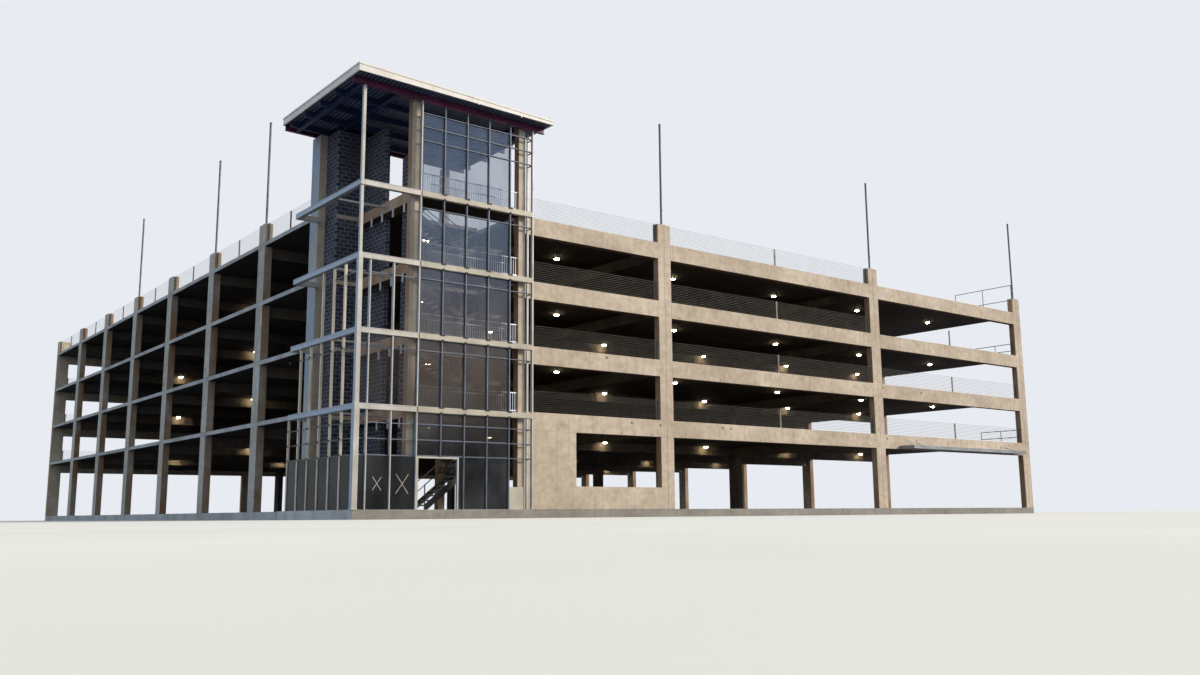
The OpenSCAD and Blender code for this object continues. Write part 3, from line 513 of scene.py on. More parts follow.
def lens(name):
    """A lit lens: warm white, a little brighter in clouds."""
    f = Finish(name)
    glow = f.spread(f.noise(30.0, 2.0), 0.3, 0.7, 50.0, 60.0)
    f.done(Base_Color=shade(250, 240, 215), Roughness=0.35,
           Emission_Color=shade(255, 232, 190), Emission_Strength=glow)


# The cast colours are pale, dark, stain, and the painted shade of the undersides.
CAST = [shade(214, 195, 171), shade(190, 170, 147), shade(154, 132, 108), shade(120, 100, 84)]
# Painted shade: a warm brown in patches on the left faces of the front and tower concrete, which stand
# in shade.
WARM_SIDE_SHADE = shade(158, 122, 92)
concrete("concrete_face", *CAST, streak=0.35, own=WARM_SIDE_SHADE)
concrete("concrete_tower", *CAST, streak=0.4, own=WARM_SIDE_SHADE, painted_left_shade=shade(156, 172, 188))
# The side concrete's front faces carry brown patches, partly stain and partly painted shade, as those
# faces stand in the shade of the tower and the decks.
concrete("concrete_side", shade(204, 199, 188), shade(180, 174, 162), shade(142, 132, 118),
         shade(120, 100, 84), streak=0.3, looking=FRONT, own=shade(146, 110, 78))
# Painted light: the decks' left faces take a pale grey in patches, the sky light that the left edges
# get.
concrete("concrete_deck", shade(160, 153, 142), shade(142, 135, 124), shade(98, 90, 81),
         shade(82, 68, 56), streak=0.2, panel=(4.55, 4.075), level=True,
         own=shade(204, 206, 206))
# Painted shade: the inner concrete is a darker copy of the cast concrete, as the inner parts stand in
# shade.
concrete("concrete_inner", shade(108, 98, 86), shade(86, 77, 68), shade(66, 58, 50),
         shade(96, 80, 66), streak=0.4)
blockwork("blockwork")
galvanised("galvanised_steel", shade(190, 194, 198), shade(140, 146, 152))
# Darker and paler copies of zinc: painted shade on the barriers, stair steel and pipe guards, painted
# light on the floor guards behind the glass.
galvanised("zinc_painted_shade", shade(110, 106, 98), shade(80, 78, 74))
galvanised("zinc_painted_light", shade(226, 234, 242), shade(196, 206, 218))
paint("mast_steel", shade(98, 108, 114), shade(78, 86, 92), metal=0.3, dirt=0.35)
# Painted light: the tubes' left faces are a painted sky-lit blue grey.
paint("painted_tube", shade(190, 185, 175), shade(168, 162, 152), metal=0.2, rough=0.4,
      dirt=0.25, left=shade(140, 166, 196))
# Painted light: the studs take a paler, warmer copy of the tube paint, the sunlight on their faces.
paint("stud_tube_painted_light", shade(222, 208, 184), shade(200, 186, 162), metal=0.1, rough=0.4, dirt=0.25)
paint("spandrel_metal", shade(190, 180, 158), shade(168, 158, 137))
paint("mullion_metal", shade(98, 104, 116), shade(76, 81, 92), metal=0.2, rough=0.42, dirt=0.2)
# Both glasses: the low tints are painted shade of the inside, the high ones a painted reflection of the
# sky.
glass("clear_glass", [shade(10, 9, 8), shade(96, 84, 77), shade(98, 116, 142)],
      covers=(0.93, 0.42, 0.34), mirror=0.28)
glass("dark_glass", [shade(10, 20, 18), shade(40, 48, 48), shade(50, 64, 72)],
      covers=(0.94, 0.5, 0.45), mirror=0.1)
paint("primed_steel", shade(122, 38, 82), shade(92, 28, 60), rough=0.5, dirt=0.2)
# Dark paint, whose navy blue is partly painted shade, the blue of the shade under the roof.
paint("dark_steel", shade(48, 60, 104), shade(34, 42, 80), rough=0.5, dirt=0.2)
# Painted shade: the roof sheet is navy on its faces below, the blue shade under the roof.
paint("roof_sheet", shade(168, 172, 178), shade(146, 151, 158), metal=0.2, dirt=0.2,
      underside_shade=shade(44, 56, 104))
paint("edge_board", shade(238, 229, 218), shade(222, 211, 199), dirt=0.15)
lens("light_lens")
paint("canopy_metal", shade(150, 152, 154), shade(124, 126, 130), metal=0.3, rough=0.4)
OWN_FINISH = {"tower_columns": "concrete_tower", "left_studs": "stud_tube_painted_light",
              "pipe_guards": "zinc_painted_shade", "stair_stringers": "zinc_painted_shade",
              "stair_handrails": "zinc_painted_shade", "floor_guards": "zinc_painted_light"}


def finish_solids():
    """Each CAD node takes its slot's finish, or one of its own where it differs from the slot."""
    for part in record["subparts"]:
        node = part["node"]
        own = "zinc_painted_shade" if node.startswith("cable_barrier") else OWN_FINISH.get(node)
        materials = frame["nodes"][node].data.materials
        materials.clear()
        materials.append(finishes[own or part["material_slot"]])


ARRIS = {0.009: ["front_columns", "rear_columns", "left_columns", "right_columns", "inner_columns"],
         0.008: ["cross_beams", "line_beams", "low_front_wall", "ground_slab"],
         0.007: ["corner_post"],
         0.006: ["front_edge_beams", "rear_edge_beams", "tower_columns", "stair_wall_beams",
                 "ring_tubes"],
         0.005: ["full_height_wall", "tie_tubes", "left_studs", "end_tube"],
         0.004: ["tower_floors", "stair_landings", "landing_beams", "entry_canopy"],
         0.003: ["entry_frame", "spandrel_bands", "roof_edge_boards"],
         0.002: ["curtain_mullions", "corner_mullions"]}


def round_arrises():
    """Arrises of the cast and rolled solids are a little rounded, by width. The nodes' loose
    triangles are merged first."""
    for width, nodes in ARRIS.items():
        for node in nodes:
            body = frame["nodes"][node]
            weld = body.modifiers.new("weld", "WELD")
            weld.merge_threshold = 0.00005
            bevel = body.modifiers.new("arris", "BEVEL")
            bevel.width = width
            bevel.segments = 2
            bevel.limit_method = "ANGLE"
            bevel.angle_limit = 0.6


# Block walls

JOINT = 0.006
BLOCK_FACE = [(0.0, -0.002), (0.0, 0.002), (0.0025, 0.0045)]


def bond(start, end, foot, head):
    """Middles and half sizes of blocks in running bond on a wall seen face on.

    Block k of course n covers k to k + 1 lengths, half a length further back in even courses, and n
    to n + 1 heights. Blocks are cut at the wall's edges and lose half a joint all round.
    """
    course, column = np.meshgrid(np.arange(np.floor(foot / BLOCK_H), np.ceil(head / BLOCK_H)),
                                 np.arange(np.floor(start / BLOCK_L), np.ceil(end / BLOCK_L) + 1),
                                 indexing="ij")
    left = column * BLOCK_L - np.where(course % 2 == 0, BLOCK_L / 2, 0.0)
    low = np.stack([np.maximum(left, start), np.maximum(course * BLOCK_H, foot)], axis=-1)
    high = np.stack([np.minimum(left + BLOCK_L, end), np.minimum((course + 1) * BLOCK_H, head)],
                    axis=-1)
    low = low.reshape(-1, 2)
    high = high.reshape(-1, 2)
    whole = (high - low).min(axis=1) > 3 * JOINT
    return (low + high)[whole] / 2, (high - low)[whole] / 2 - JOINT / 2


def block_face(low, high, normal):
    """Blocks on the upright face of a box that looks along normal, in step with the mortar lines."""
    along = np.abs(np.cross(UP, normal))
    fixed = np.where(normal > 0, high, low) @ np.abs(normal)
    middles, halves = bond(low @ along + fixed, high @ along + fixed, low[2], high[2])
    places = (middles[:, :1] - fixed) * along + fixed * np.abs(normal) + middles[:, 1:] * UP
    return raised(places, halves, normal, BLOCK_FACE)


def block_walls():
    """Blocks on the four upright faces of the lift shaft and of each solid of the stair wall."""
    low, high = node_box("lift_shaft")
    add_piece("shaft_blocks", "blockwork",
              joined([block_face(low, high, normal) for normal in (-Y, Y, -X, X)]))
    add_piece("stair_wall_blocks", "blockwork",
              joined([block_face(low, high, normal) for low, high in zip(*solid_boxes("stair_wall"))
                      for normal in (-X, X, -Y, Y)]))


# Tower frame: lips on the tubes and bands, covers, faces of the bands, clips, gaskets, tape marks

band_low, band_high = solid_boxes("spandrel_bands")
band_feet = np.unique(band_low[:, 2])
band_tops = np.unique(band_high[:, 2])
band_front = band_low[:, 1].min()
mullion_low, mullion_high = solid_boxes("curtain_mullions")
at_end = mullion_low[:, 0] > mullion_low[:, 0].max() - 0.01
rail_low, rail_high = solid_boxes("curtain_transoms")
LIP = [(-0.001, -0.005), (0.006, -0.004), (0.006, 0.004), (-0.001, 0.005)]
EDGE_DROPS = (0.012, -0.012)


def level_lips(low, high, normal, drops):
    """A small lip along the face of each box that looks along normal, at each drop: down from the
    top, or up from the foot where the drop is below nothing."""
    along = np.abs(np.cross(UP, normal))
    face = np.where(normal > 0, high, low) * np.abs(normal)
    shapes = []
    for drop in drops:
        level = ((high if drop > 0 else low)[:, 2:] - drop) * UP
        shapes.append(runs(face + low * along + level, face + high * along + level, LIP, normal, UP))
    return joined(shapes)


def frame_lips():
    """Lips near both edges of the tubes in the left and the front face, and of the bands."""
    low, high = solid_boxes("ring_tubes")
    size = high - low
    left = size[:, 1] > size[:, 0]
    front = low[:, 1] < low[:, 1].min() + 0.01
    add_piece("ring_tube_lips", "painted_tube",
              joined([level_lips(low[left], high[left], -X, EDGE_DROPS),
                      level_lips(low[front], high[front], -Y, EDGE_DROPS)]))
    add_piece("spandrel_lips", "spandrel_metal", level_lips(band_low, band_high, -Y, EDGE_DROPS))


COVER = both_sides([(-0.016, -0.001), (-0.016, 0.007), (-0.011, 0.011)])
END_COVER = both_sides([(-0.021, -0.058), (-0.021, 0.007), (-0.014, 0.011)])


def upright_covers(low, high, outline):
    """A cap carried up the front face of each upright, on its middle line."""
    middle = (low[:, 0] + high[:, 0])[:, None] / 2 * X + low[:, 1:2] * Y
    return runs(middle + low[:, 2:] * UP, middle + high[:, 2:] * UP, outline, X, -Y)


def between_bands(low, high):
    """Uprights cut at the bands: the part of each between every two bands that it passes."""
    foot = np.concatenate([[low[:, 2].min()], band_tops])
    top = np.concatenate([band_feet, [high[:, 2].max()]])
    part_low = np.maximum(low[:, None, 2], foot)
    part_high = np.minimum(high[:, None, 2], top)
    kept = part_high - part_low > 0.05
    upright = np.nonzero(kept)[0]
    return (np.column_stack([low[upright, :2], part_low[kept]]),
            np.column_stack([high[upright, :2], part_high[kept]]))


def mullion_caps():
    """Covers on the mullions between the bands, on the end mullion and on the corner mullions."""
    add_piece("mullion_covers", "mullion_metal",
              upright_covers(*between_bands(mullion_low[~at_end], mullion_high[~at_end]), COVER))
    add_piece("end_cover", "painted_tube",
              upright_covers(mullion_low[at_end], mullion_high[at_end], END_COVER))
    add_piece("corner_covers", "painted_tube",
              upright_covers(*solid_boxes("corner_mullions"), COVER))


BAND_FACE = both_sides([(-0.058, -0.001), (-0.058, 0.004), (-0.052, 0.007)])
CORNER_BANDS_W = 0.56
BAND_END_GAP = 0.004
RAIL_COVER = both_sides([(-0.010, -0.001), (-0.010, 0.005), (-0.007, 0.008)])


def level_caps():
    """Faces along the bands, from the corner to the end mullion, and covers along the front's
    rails. Pieces of rail under 0.1 long have none."""
    middle = (band_feet + band_tops)[:, None] / 2 * UP + band_front * Y
    add_piece("band_faces", "spandrel_metal",
              runs(middle + (mullion_low[:, 0].min() - CORNER_BANDS_W) * X,
                   middle + (mullion_low[at_end][0, 0] - BAND_END_GAP) * X, BAND_FACE, UP, -Y))
    length = (rail_high - rail_low)[:, 0]
    ahead = (rail_low[:, 1] < mullion_low[:, 1].mean() + 0.02) & (length > 0.1)
    start = rail_low[ahead] * (X + Y) + (rail_low + rail_high)[ahead][:, 2:] / 2 * UP
    add_piece("transom_covers", "mullion_metal",
              runs(start, start + length[ahead][:, None] * X, RAIL_COVER, UP, -Y))


CLIP = [(0.0, -0.002), (0.0, 0.012), (0.004, 0.016)]
HEAD_CLIP_HALF = [0.058, 0.020]
FOOT_CLIP_HALF = [0.026, 0.020]
CLAMP_HALF = [0.034, 0.020]
LEFT_RAILS_X = -13.3
CLAMPS_END = 5.0


def clips():
    """Clips where the mullions meet the top and the foot of each band, and clamps that hold the
    rails to the studs of the left face, below the level where they end."""
    x = np.unique(np.round((mullion_low + mullion_high)[~at_end, 0] / 2, 3))
    y = band_front - 0.005
    heads = places_at(x, y, band_tops[:, None] - 0.002)
    feet = places_at(x, y, band_feet[:, None] + 0.006)
    add_piece("band_clips", "dark_steel",
              joined([raised(heads, HEAD_CLIP_HALF, -Y, CLIP), raised(feet, FOOT_CLIP_HALF, -Y, CLIP)]),
              mark=0.9)
    stud_low, stud_high = solid_boxes("left_studs")
    stud_y = np.unique(np.round((stud_low + stud_high)[:, 1] / 2, 3))
    on_left = rail_low[:, 0] < LEFT_RAILS_X
    rail_z = np.unique(np.round((rail_low + rail_high)[:, 2][on_left] / 2, 3))
    clamp = places_at(stud_low[:, 0].min(), stud_y, rail_z[:, None])
    held = (clamp[:, 1] > rail_low[:, 1].min()) & (clamp[:, 2] < CLAMPS_END)
    add_piece("rail_clamps", "dark_steel", raised(clamp[held], CLAMP_HALF, -X, CLIP), mark=0.9)


def gaskets(node, right, normal):
    """A gasket round each pane of a node, on both faces of the glass."""
    low, high = solid_boxes(node)
    halves = np.stack([(high - low) @ np.abs(right) / 2, (high - low)[:, 2] / 2], axis=-1)
    depth = ((high - low) @ np.abs(normal)).mean() / 2 + 0.003
    outline = [(-0.008, -depth), (0.0, -depth), (0.0, depth), (-0.008, depth)]
    return frames((low + high) / 2, halves, right, normal, outline)


def pane_gaskets():
    """Gaskets of the front panes and of the left panes."""
    add_piece("front_gaskets", "mullion_metal", gaskets("front_glass", X, -Y))
    add_piece("left_gaskets", "mullion_metal", gaskets("left_glass", Y, -X))


MARK_Z = 0.745
MARK_HALVES = [(0.10, 0.14), (0.15, 0.21)]
TAPE = [(-0.006, -0.001), (0.006, -0.001), (0.006, 0.001), (-0.006, 0.001)]


def tape_marks():
    """Cross marks of tape on two of the lowest corner panes: two strips, corner to corner."""
    low, high = solid_boxes("front_glass")
    x = (low + high)[:, 0] / 2
    post_x = node_box("corner_post")[0][0]
    marked = (x > post_x + 0.3) & (x < mullion_low[:, 0].min() - 0.5) & (low[:, 2] < 0.25)
    strips = []
    for pane_x, pane_y, (half_w, half_h) in zip(x[marked], low[marked, 1], MARK_HALVES):
        centre = pane_x * X + (pane_y - 0.001) * Y + MARK_Z * UP
        for lean in (1.0, -1.0):
            reach = half_w * X * lean + half_h * UP
            across = np.cross(reach / np.linalg.norm(reach), Y)
            strips.append(runs([centre - reach], [centre + reach], TAPE, across, Y))
    add_piece("tape_marks", "painted_tube", joined(strips))


# Roof: rolled sections, profiled sheet, flashings, board joints

FLANGE = 0.08
WEB = (0.44, 0.56)
I_SECTION = [(0, 0), (1, 0), (1, FLANGE), (WEB[1], FLANGE), (WEB[1], 1 - FLANGE), (1, 1 - FLANGE),
             (1, 1), (0, 1), (0, 1 - FLANGE), (WEB[0], 1 - FLANGE), (WEB[0], FLANGE), (0, FLANGE)]


def rolled(node, along_x):
    """I-sections carried through a node's box-like solids, from their near to their far end."""
    across, up = np.array(I_SECTION, float).T
    corners = box_corners(node)
    ends = []
    for part in (0.0, 1.0):
        along = np.full(len(across), part)
        place = (along, across) if along_x else (across, along)
        ends.append(inside(corners, *place, up))
    return lofts(np.stack(ends, axis=1))


RIB_PITCH = 0.1
RIB = np.array([(0.0, 0.0), (0.30, 0.0), (0.42, 1.0), (0.82, 1.0), (0.94, 0.0)])
RIB_H = 0.7
SHEET_FOOT = 0.02
SHEET_T = 0.07


def profiled(corners):
    """Profiled sheet in a box-like solid: a thin section from back to front, carried along x over
    the trapezoid heights of one rib after another. Heights are parts of the solid's height."""
    length = corners[0, 1, 0, 0, 0] - corners[0, 0, 0, 0, 0]
    ribs = int(length / RIB_PITCH)
    along = np.append(((np.arange(ribs)[:, None] + RIB[:, 0]) / ribs).ravel(), 1.0)
    height = np.append(np.tile(RIB[:, 1], ribs) * RIB_H + SHEET_FOOT, SHEET_FOOT)
    x = np.repeat(along, 4)
    y = np.tile([0.0, 1.0, 1.0, 0.0], len(along))
    z = (height[:, None] + [0.0, 0.0, SHEET_T, SHEET_T]).ravel()
    return lofts(inside(corners, x, y, z).reshape(1, len(along), 4, 3))


def roof_steel():
    """Rolled sections and profiled sheet in place of the plain solids of the roof."""
    add_piece("roof_beam_sections", "primed_steel", rolled("roof_beams", True), ["roof_beams"])
    add_piece("roof_girder_sections", "dark_steel", rolled("roof_girders", False), ["roof_girders"])
    add_piece("roof_joist_sections", "dark_steel", rolled("roof_joists", True), ["roof_joists"])
    add_piece("roof_ribs", "roof_sheet", profiled(box_corners("roof_sheet")), ["roof_sheet"])


board = separate_solids("roof_edge_boards")[0]
board_low = board.min(axis=0)
board_high = board.max(axis=0)
corner_xy = np.where(CORNERS < 0, board_low[:2], board_high[:2])
near_corner = np.abs(board[None, :, :2] - corner_xy[:, None]).max(axis=2) < 0.001
corner_top = np.array([board[near, 2].max() for near in near_corner])
corner_foot = np.array([board[near, 2].min() for near in near_corner])
FLASHING = [(-0.040, -0.001), (-0.040, 0.005), (0.007, 0.005), (0.007, -0.030), (0.012, -0.038),
            (0.009, -0.040), (0.002, -0.032), (0.002, -0.001)]
FOOT_TRIM = [(-0.034, 0.001), (-0.034, -0.004), (0.005, -0.004), (0.005, 0.018), (0.001, 0.018),
             (0.001, 0.001)]
STRIP = [(0.0, -0.001), (0.0, 0.002), (0.002, 0.0035)]
STRIP_HALF = [0.016, 0.062]
STRIP_DROP = 0.1
STRIP_PITCH = 1.2
FIRST_STRIP = 0.62
LAST_STRIP = 0.3


def round_roof(level, outline):
    """An outline carried round the roof's edge, mitred: points are distances outward and up."""
    outward, up = np.asarray(outline, float).T
    places = corner_xy[:, None] + outward[None, :, None] * CORNERS[:, None]
    return lofts(np.dstack([places, level[:, None] + up[None, :]])[None], closed=True)


def roof_top(x):
    """Height of the boards' top at x: a straight line between the left and the right corner."""
    return np.interp(x, corner_xy[:2, 0], corner_top[:2])


def roof_edge():
    """Flashings on the top and foot of the edge boards, and strips over the joints between them."""
    add_piece("roof_flashing", "edge_board",
              joined([round_roof(corner_top, FLASHING), round_roof(corner_foot, FOOT_TRIM)]))
    along_x = np.arange(board_low[0] + FIRST_STRIP, board_high[0] - LAST_STRIP, STRIP_PITCH)
    along_y = np.arange(board_low[1] + FIRST_STRIP, board_high[1] - LAST_STRIP, STRIP_PITCH)
    sides = [(along_x, board_low[1], -Y), (along_x, board_high[1], Y),
             (board_low[0], along_y, -X), (board_high[0], along_y, X)]
    add_piece("board_joints", "edge_board",
              joined([raised(places_at(x, y, roof_top(x) - STRIP_DROP), STRIP_HALF, normal, STRIP)
                      for x, y, normal in sides]))


# Plates, bolts and cleats of the masts, the corner post, the ties and the hangers

NUT = [(0.0085, -0.001), (0.0085, 0.006), (0.007, 0.0075)]
STUD = [(0.0042, 0.0), (0.0042, 0.014), (0.003, 0.016)]
COLLAR = [(0.048, -0.001), (0.046, 0.008), (0.034, 0.030), (0.031, 0.034)]
CAP = [(0.0345, -0.030), (0.0345, 0.000), (0.031, 0.012), (0.020, 0.020), (0.006, 0.023)]
HATCH = [(0.0, -0.006), (0.0, 0.003), (0.004, 0.006)]
HATCH_HALF = [0.020, 0.055]
HATCH_Z = 0.45
MAST_R = 0.031
MAST_PLATE_T = 0.015
MAST_BOLT_REACH = 0.055
POST_BASE = [(0.0, -0.001), (0.0, 0.02), (0.004, 0.024)]
POST_BASE_HALF = [0.070, 0.070]
CLEAT = [(0.0, -0.004), (0.0, 0.004), (0.001, 0.006)]
CLEAT_HALF = [0.045, 0.045]
HANGER_BOLT_STEPS = (-0.022, 0.022)
HANGER_BOLT_RISE = 0.096


def bolts(places, axis):
    """A six sided nut with its threaded end at each place."""
    return joined([turned(places, axis, NUT, 6), turned(places, axis, STUD, 8)])


def four_round(middles, reach):
    """Four places round each middle, at the corners of a level square."""
    offset = np.column_stack([CORNERS, np.zeros(4)]) * reach
    return (np.asarray(middles)[:, None] + offset).reshape(-1, 3)


def mast_fittings():
    """A collar, a cap and a hatch on each lamp mast, with four bolts round its foot."""
    low, high = solid_boxes("lamp_masts")
    middle = (low + high) / 2 * (X + Y)
    base = middle + (low[:, 2:] + MAST_PLATE_T) * UP
    hatch = base + HATCH_Z * UP - MAST_R * Y
    add_piece("mast_fittings", "mast_steel",
              joined([turned(base, UP, COLLAR, 24), turned(middle + high[:, 2:] * UP, UP, CAP, 24),
                      raised(hatch, HATCH_HALF, -Y, HATCH)]), smooth=True)
    add_piece("mast_bolts", "galvanised_steel", bolts(four_round(base, MAST_BOLT_REACH), UP))


def tower_cleats():
    """The corner post's base, cleats at the far ends of the tie tubes, bolts of the beam hangers."""
    low, high = solid_boxes("corner_post")
    foot = ((low + high) / 2 * (X + Y))[:1] + node_box("ground_slab")[1][2] * UP
    add_piece("post_base", "painted_tube", flat(foot, POST_BASE_HALF, POST_BASE))
    low, high = solid_boxes("tie_tubes")
    end = (low + high) / 2 * (Y + UP) + high[:, :1] * X
    add_piece("tie_cleats", "painted_tube", raised(end - 0.004 * X, CLEAT_HALF, -X, CLEAT))
    low, high = solid_boxes("beam_hangers")
    face = (low + high) / 2 * (Y + UP) + low[:, :1] * X + HANGER_BOLT_RISE * UP
    add_piece("hanger_bolts", "galvanised_steel",
              joined([bolts(face + step * Y, -X) for step in HANGER_BOLT_STEPS]))


# Barriers: base plates, caps, sleeves where the cables end, ferrules at the middle posts

CABLES = 11
FIRST_CABLE = 0.056
CABLE_RISE = 0.474
POST_W = 0.050
POST_H = 0.537
ONE_POST = 0.2
ONE_BAY = 150
BARRIER_PLATE = [(0.0, -0.001), (0.0, 0.005), (0.001, 0.006)]
BARRIER_PLATE_HALF = [0.045, 0.036]
POST_CAP = [(0.0, -0.001), (0.0, 0.004), (0.006, 0.008)]
POST_CAP_HALF = [0.026, 0.014]
SLEEVE = [(0.0055, 0.0), (0.0075, 0.002), (0.0075, 0.034), (0.0045, 0.044)]
FERRULE = [(0.0045, 0.0), (0.0065, 0.001), (0.0065, 0.010), (0.0045, 0.011)]


def barrier_fittings():
    """Fittings of every length of barrier, which is one solid each.

    One no longer than a post is a post alone. A longer one has a post at both ends, and one whose
    solid has more corners than a bay needs has another post in its middle. The cables stand evenly
    from the first to the last, with a fitting on each side of every post that they reach.
    """
    found = [points for node in frame["nodes"] if node.startswith("cable_barrier")
             for points in separate_solids(node)]
    found_low, found_high = boxes_round(found)
    found_size = found_high - found_low
    corners = np.array([len(points) for points in found])
    cable_z = (FIRST_CABLE + CABLE_RISE * np.arange(CABLES) / (CABLES - 1))[:, None, None] * UP
    plates = []
    caps = []
    sleeves = []
    for axis, across, order in ((X, Y, 1), (Y, X, -1)):
        chosen = found_size @ axis > found_size @ across
        low = found_low[chosen]
        high = found_high[chosen]
        line = (low + high) / 2 * across + low[:, 2:] * UP
        first = low * axis
        last = high * axis
        strung = (last - first).sum(axis=1) > ONE_POST
        halved = corners[chosen] > ONE_BAY
        middle = (line + (first + last) / 2)[halved]
        posts = np.concatenate([line + first + POST_W / 2 * axis,
                                (line + last - POST_W / 2 * axis)[strung], middle])
        plates.append(flat(posts, BARRIER_PLATE_HALF[::order], BARRIER_PLATE))
        caps.append(flat(posts + POST_H * UP, POST_CAP_HALF[::order], POST_CAP))
        for places, outward, profile in (((line + first + POST_W * axis)[strung], axis, SLEEVE),
                                         ((line + last - POST_W * axis)[strung], -axis, SLEEVE),
                                         (middle + POST_W / 2 * axis, axis, FERRULE),
                                         (middle - POST_W / 2 * axis, -axis, FERRULE)):
            sleeves.append(turned((places + cable_z).reshape(-1, 3), outward, profile, 8))
    add_piece("barrier_plates", "galvanised_steel", joined(plates))
    add_piece("barrier_caps", "galvanised_steel", joined(caps))
    add_piece("cable_sleeves", "galvanised_steel", joined(sleeves), smooth=True)


# Lamps: ceiling lights, and bars under the tower's floors behind the stair

HOUSING = [(0.070, 0.001), (0.085, -0.001), (0.085, -0.016), (0.080, -0.022), (0.070, -0.022)]
LENS = [(0.073, -0.010), (0.073, -0.026), (0.066, -0.040), (0.050, -0.051), (0.028, -0.058),
        (0.006, -0.060)]
BAR = both_sides([(-0.040, 0.001), (-0.040, -0.022), (-0.030, -0.030)])
BAR_LENS = [(0.028, -0.028), (0.028, -0.036), (0.022, -0.046), (0.010, -0.052), (0.003, -0.053)]
BAR_PLACE = (-0.65, 0.5, 0.0)
BAR_HALF = 0.18
BAR_LENS_STEPS = (-0.12, 0.0, 0.12)


def lamps():
    """A round housing with a domed lens on each ceiling light, and bars with three lenses each."""
    low, high = solid_boxes("ceiling_lights")
    top = (low + high) / 2 * (X + Y) + high[:, 2:] * UP
    add_piece("light_housings", "canopy_metal", turned(top, UP, HOUSING, 20), smooth=True)
    add_piece("light_lenses", "light_lens", turned(top, UP, LENS, 20), ["ceiling_lights"],
              smooth=True)
    low, high = solid_boxes("tower_floors")
    behind = low[:, 1] > low[:, 1].max() - 0.01
    bar = high[behind] * X + low[behind] * (Y + UP) + BAR_PLACE
    add_piece("landing_lamps", "canopy_metal", runs(bar - BAR_HALF * X, bar + BAR_HALF * X, BAR, Y, UP))
    lenses = np.concatenate([bar + step * X for step in BAR_LENS_STEPS])
    add_piece("landing_lenses", "light_lens", turned(lenses, UP, BAR_LENS, 16), smooth=True)


# Entry canopy: lips on its edges, ribs under it, plates and turnbuckles of its rods

CANOPY_DROPS = (0.008, -0.008)
CANOPY_FRONT_DROPS = (0.008, 0.050, -0.008)
CANOPY_RIB = both_sides([(-0.014, 0.001), (-0.009, -0.012)])
CANOPY_RIB_PITCH = 0.6
CANOPY_EDGE = 0.02
ROD_PLATE = [(0.0, -0.001), (0.0, 0.008), (0.002, 0.010)]
ROD_FOOT_HALF = [0.04, 0.05]
ROD_HEAD_HALF = [0.04, 0.06]
ROD_BOLTS = [(0.0, -0.010, 0.042), (0.0, -0.010, -0.042)]
BUCKLE = [(0.009, -0.07), (0.014, -0.06), (0.014, 0.06), (0.009, 0.07)]


def canopy_fittings():
    """Lips along the front and both sides, ribs from front to back, and on each rod a plate at both
    ends, two bolts in the upper one and a turnbuckle at half length."""
    low, high = node_box("entry_canopy")
    box = low[None], high[None]
    add_piece("canopy_lips", "canopy_metal",
              joined([level_lips(*box, -Y, CANOPY_FRONT_DROPS), level_lips(*box, -X, CANOPY_DROPS),
                      level_lips(*box, X, CANOPY_DROPS)]))
    rib_x = np.arange(low[0] + CANOPY_RIB_PITCH / 2, high[0] - 0.1, CANOPY_RIB_PITCH)
    start = places_at(rib_x, low[1] + CANOPY_EDGE, low[2])
    end = start + (high[1] - low[1] - 2 * CANOPY_EDGE) * Y
    add_piece("canopy_ribs", "canopy_metal", runs(start, end, CANOPY_RIB, X, UP))
    rod_low, rod_high = solid_boxes("canopy_rods")
    x = (rod_low + rod_high)[:, :1] / 2 * X
    foot = x + rod_low[:, 1:2] * Y + high[2] * UP
    head = x + high[1] * Y + (rod_high[:, 2:] - 0.01) * UP
    middle = x + (rod_low + rod_high) / 2 * (Y + UP)
    lean = (rod_high - rod_low)[0] * (Y + UP)
    add_piece("canopy_rod_plates", "galvanised_steel",
              joined([flat(foot, ROD_FOOT_HALF, ROD_PLATE), raised(head, ROD_HEAD_HALF, -Y, ROD_PLATE)]
                     + [bolts(head + step, -Y) for step in ROD_BOLTS]
                     + [turned(middle, lean, BUCKLE, 8)]))


# Form marks: cone holes and pockets, a fin down each front column, pour joints on the edge beams

CONE = [(0.020, -0.001), (0.020, 0.0015), (0.015, 0.0015), (0.012, 0.0005)]
CONE_DROPS = (0.40, 0.39, 0.40)
CONE_PITCH = 1.53
CONE_RUNS = ((-3.6, 4.0), (4.9, 12.8))
SEEN_CONES = [(-7.705, 0.39), (-6.299, 0.40), (-5.706, 0.40), (-5.272, 0.41), (-4.656, 0.41)]
POCKET = [(0.0, -0.001), (0.0, 0.002), (0.006, 0.002), (0.008, 0.0005)]
POCKET_HALF = [0.035, 0.028]
SEEN_POCKETS = [(-5.351, 0, 0.12), (-4.347, 0, 0.14), (-2.040, 0, 0.11), (-1.703, 0, 0.12),
                (-6.165, 1, 0.10), (5.35, 0, 0.13), (6.90, 0, 0.14), (5.25, 1, 0.12),
                (12.4, 0, 0.13), (7.3, 1, 0.16)]
FIN = [(-0.005, -0.001), (0.0, 0.0035), (0.005, -0.001)]
POUR_X = [-6.72, -6.10, -1.95, 2.4, 6.3, 9.4]
POUR_JOINT = both_sides([(-0.0035, -0.001), (-0.002, 0.001)])


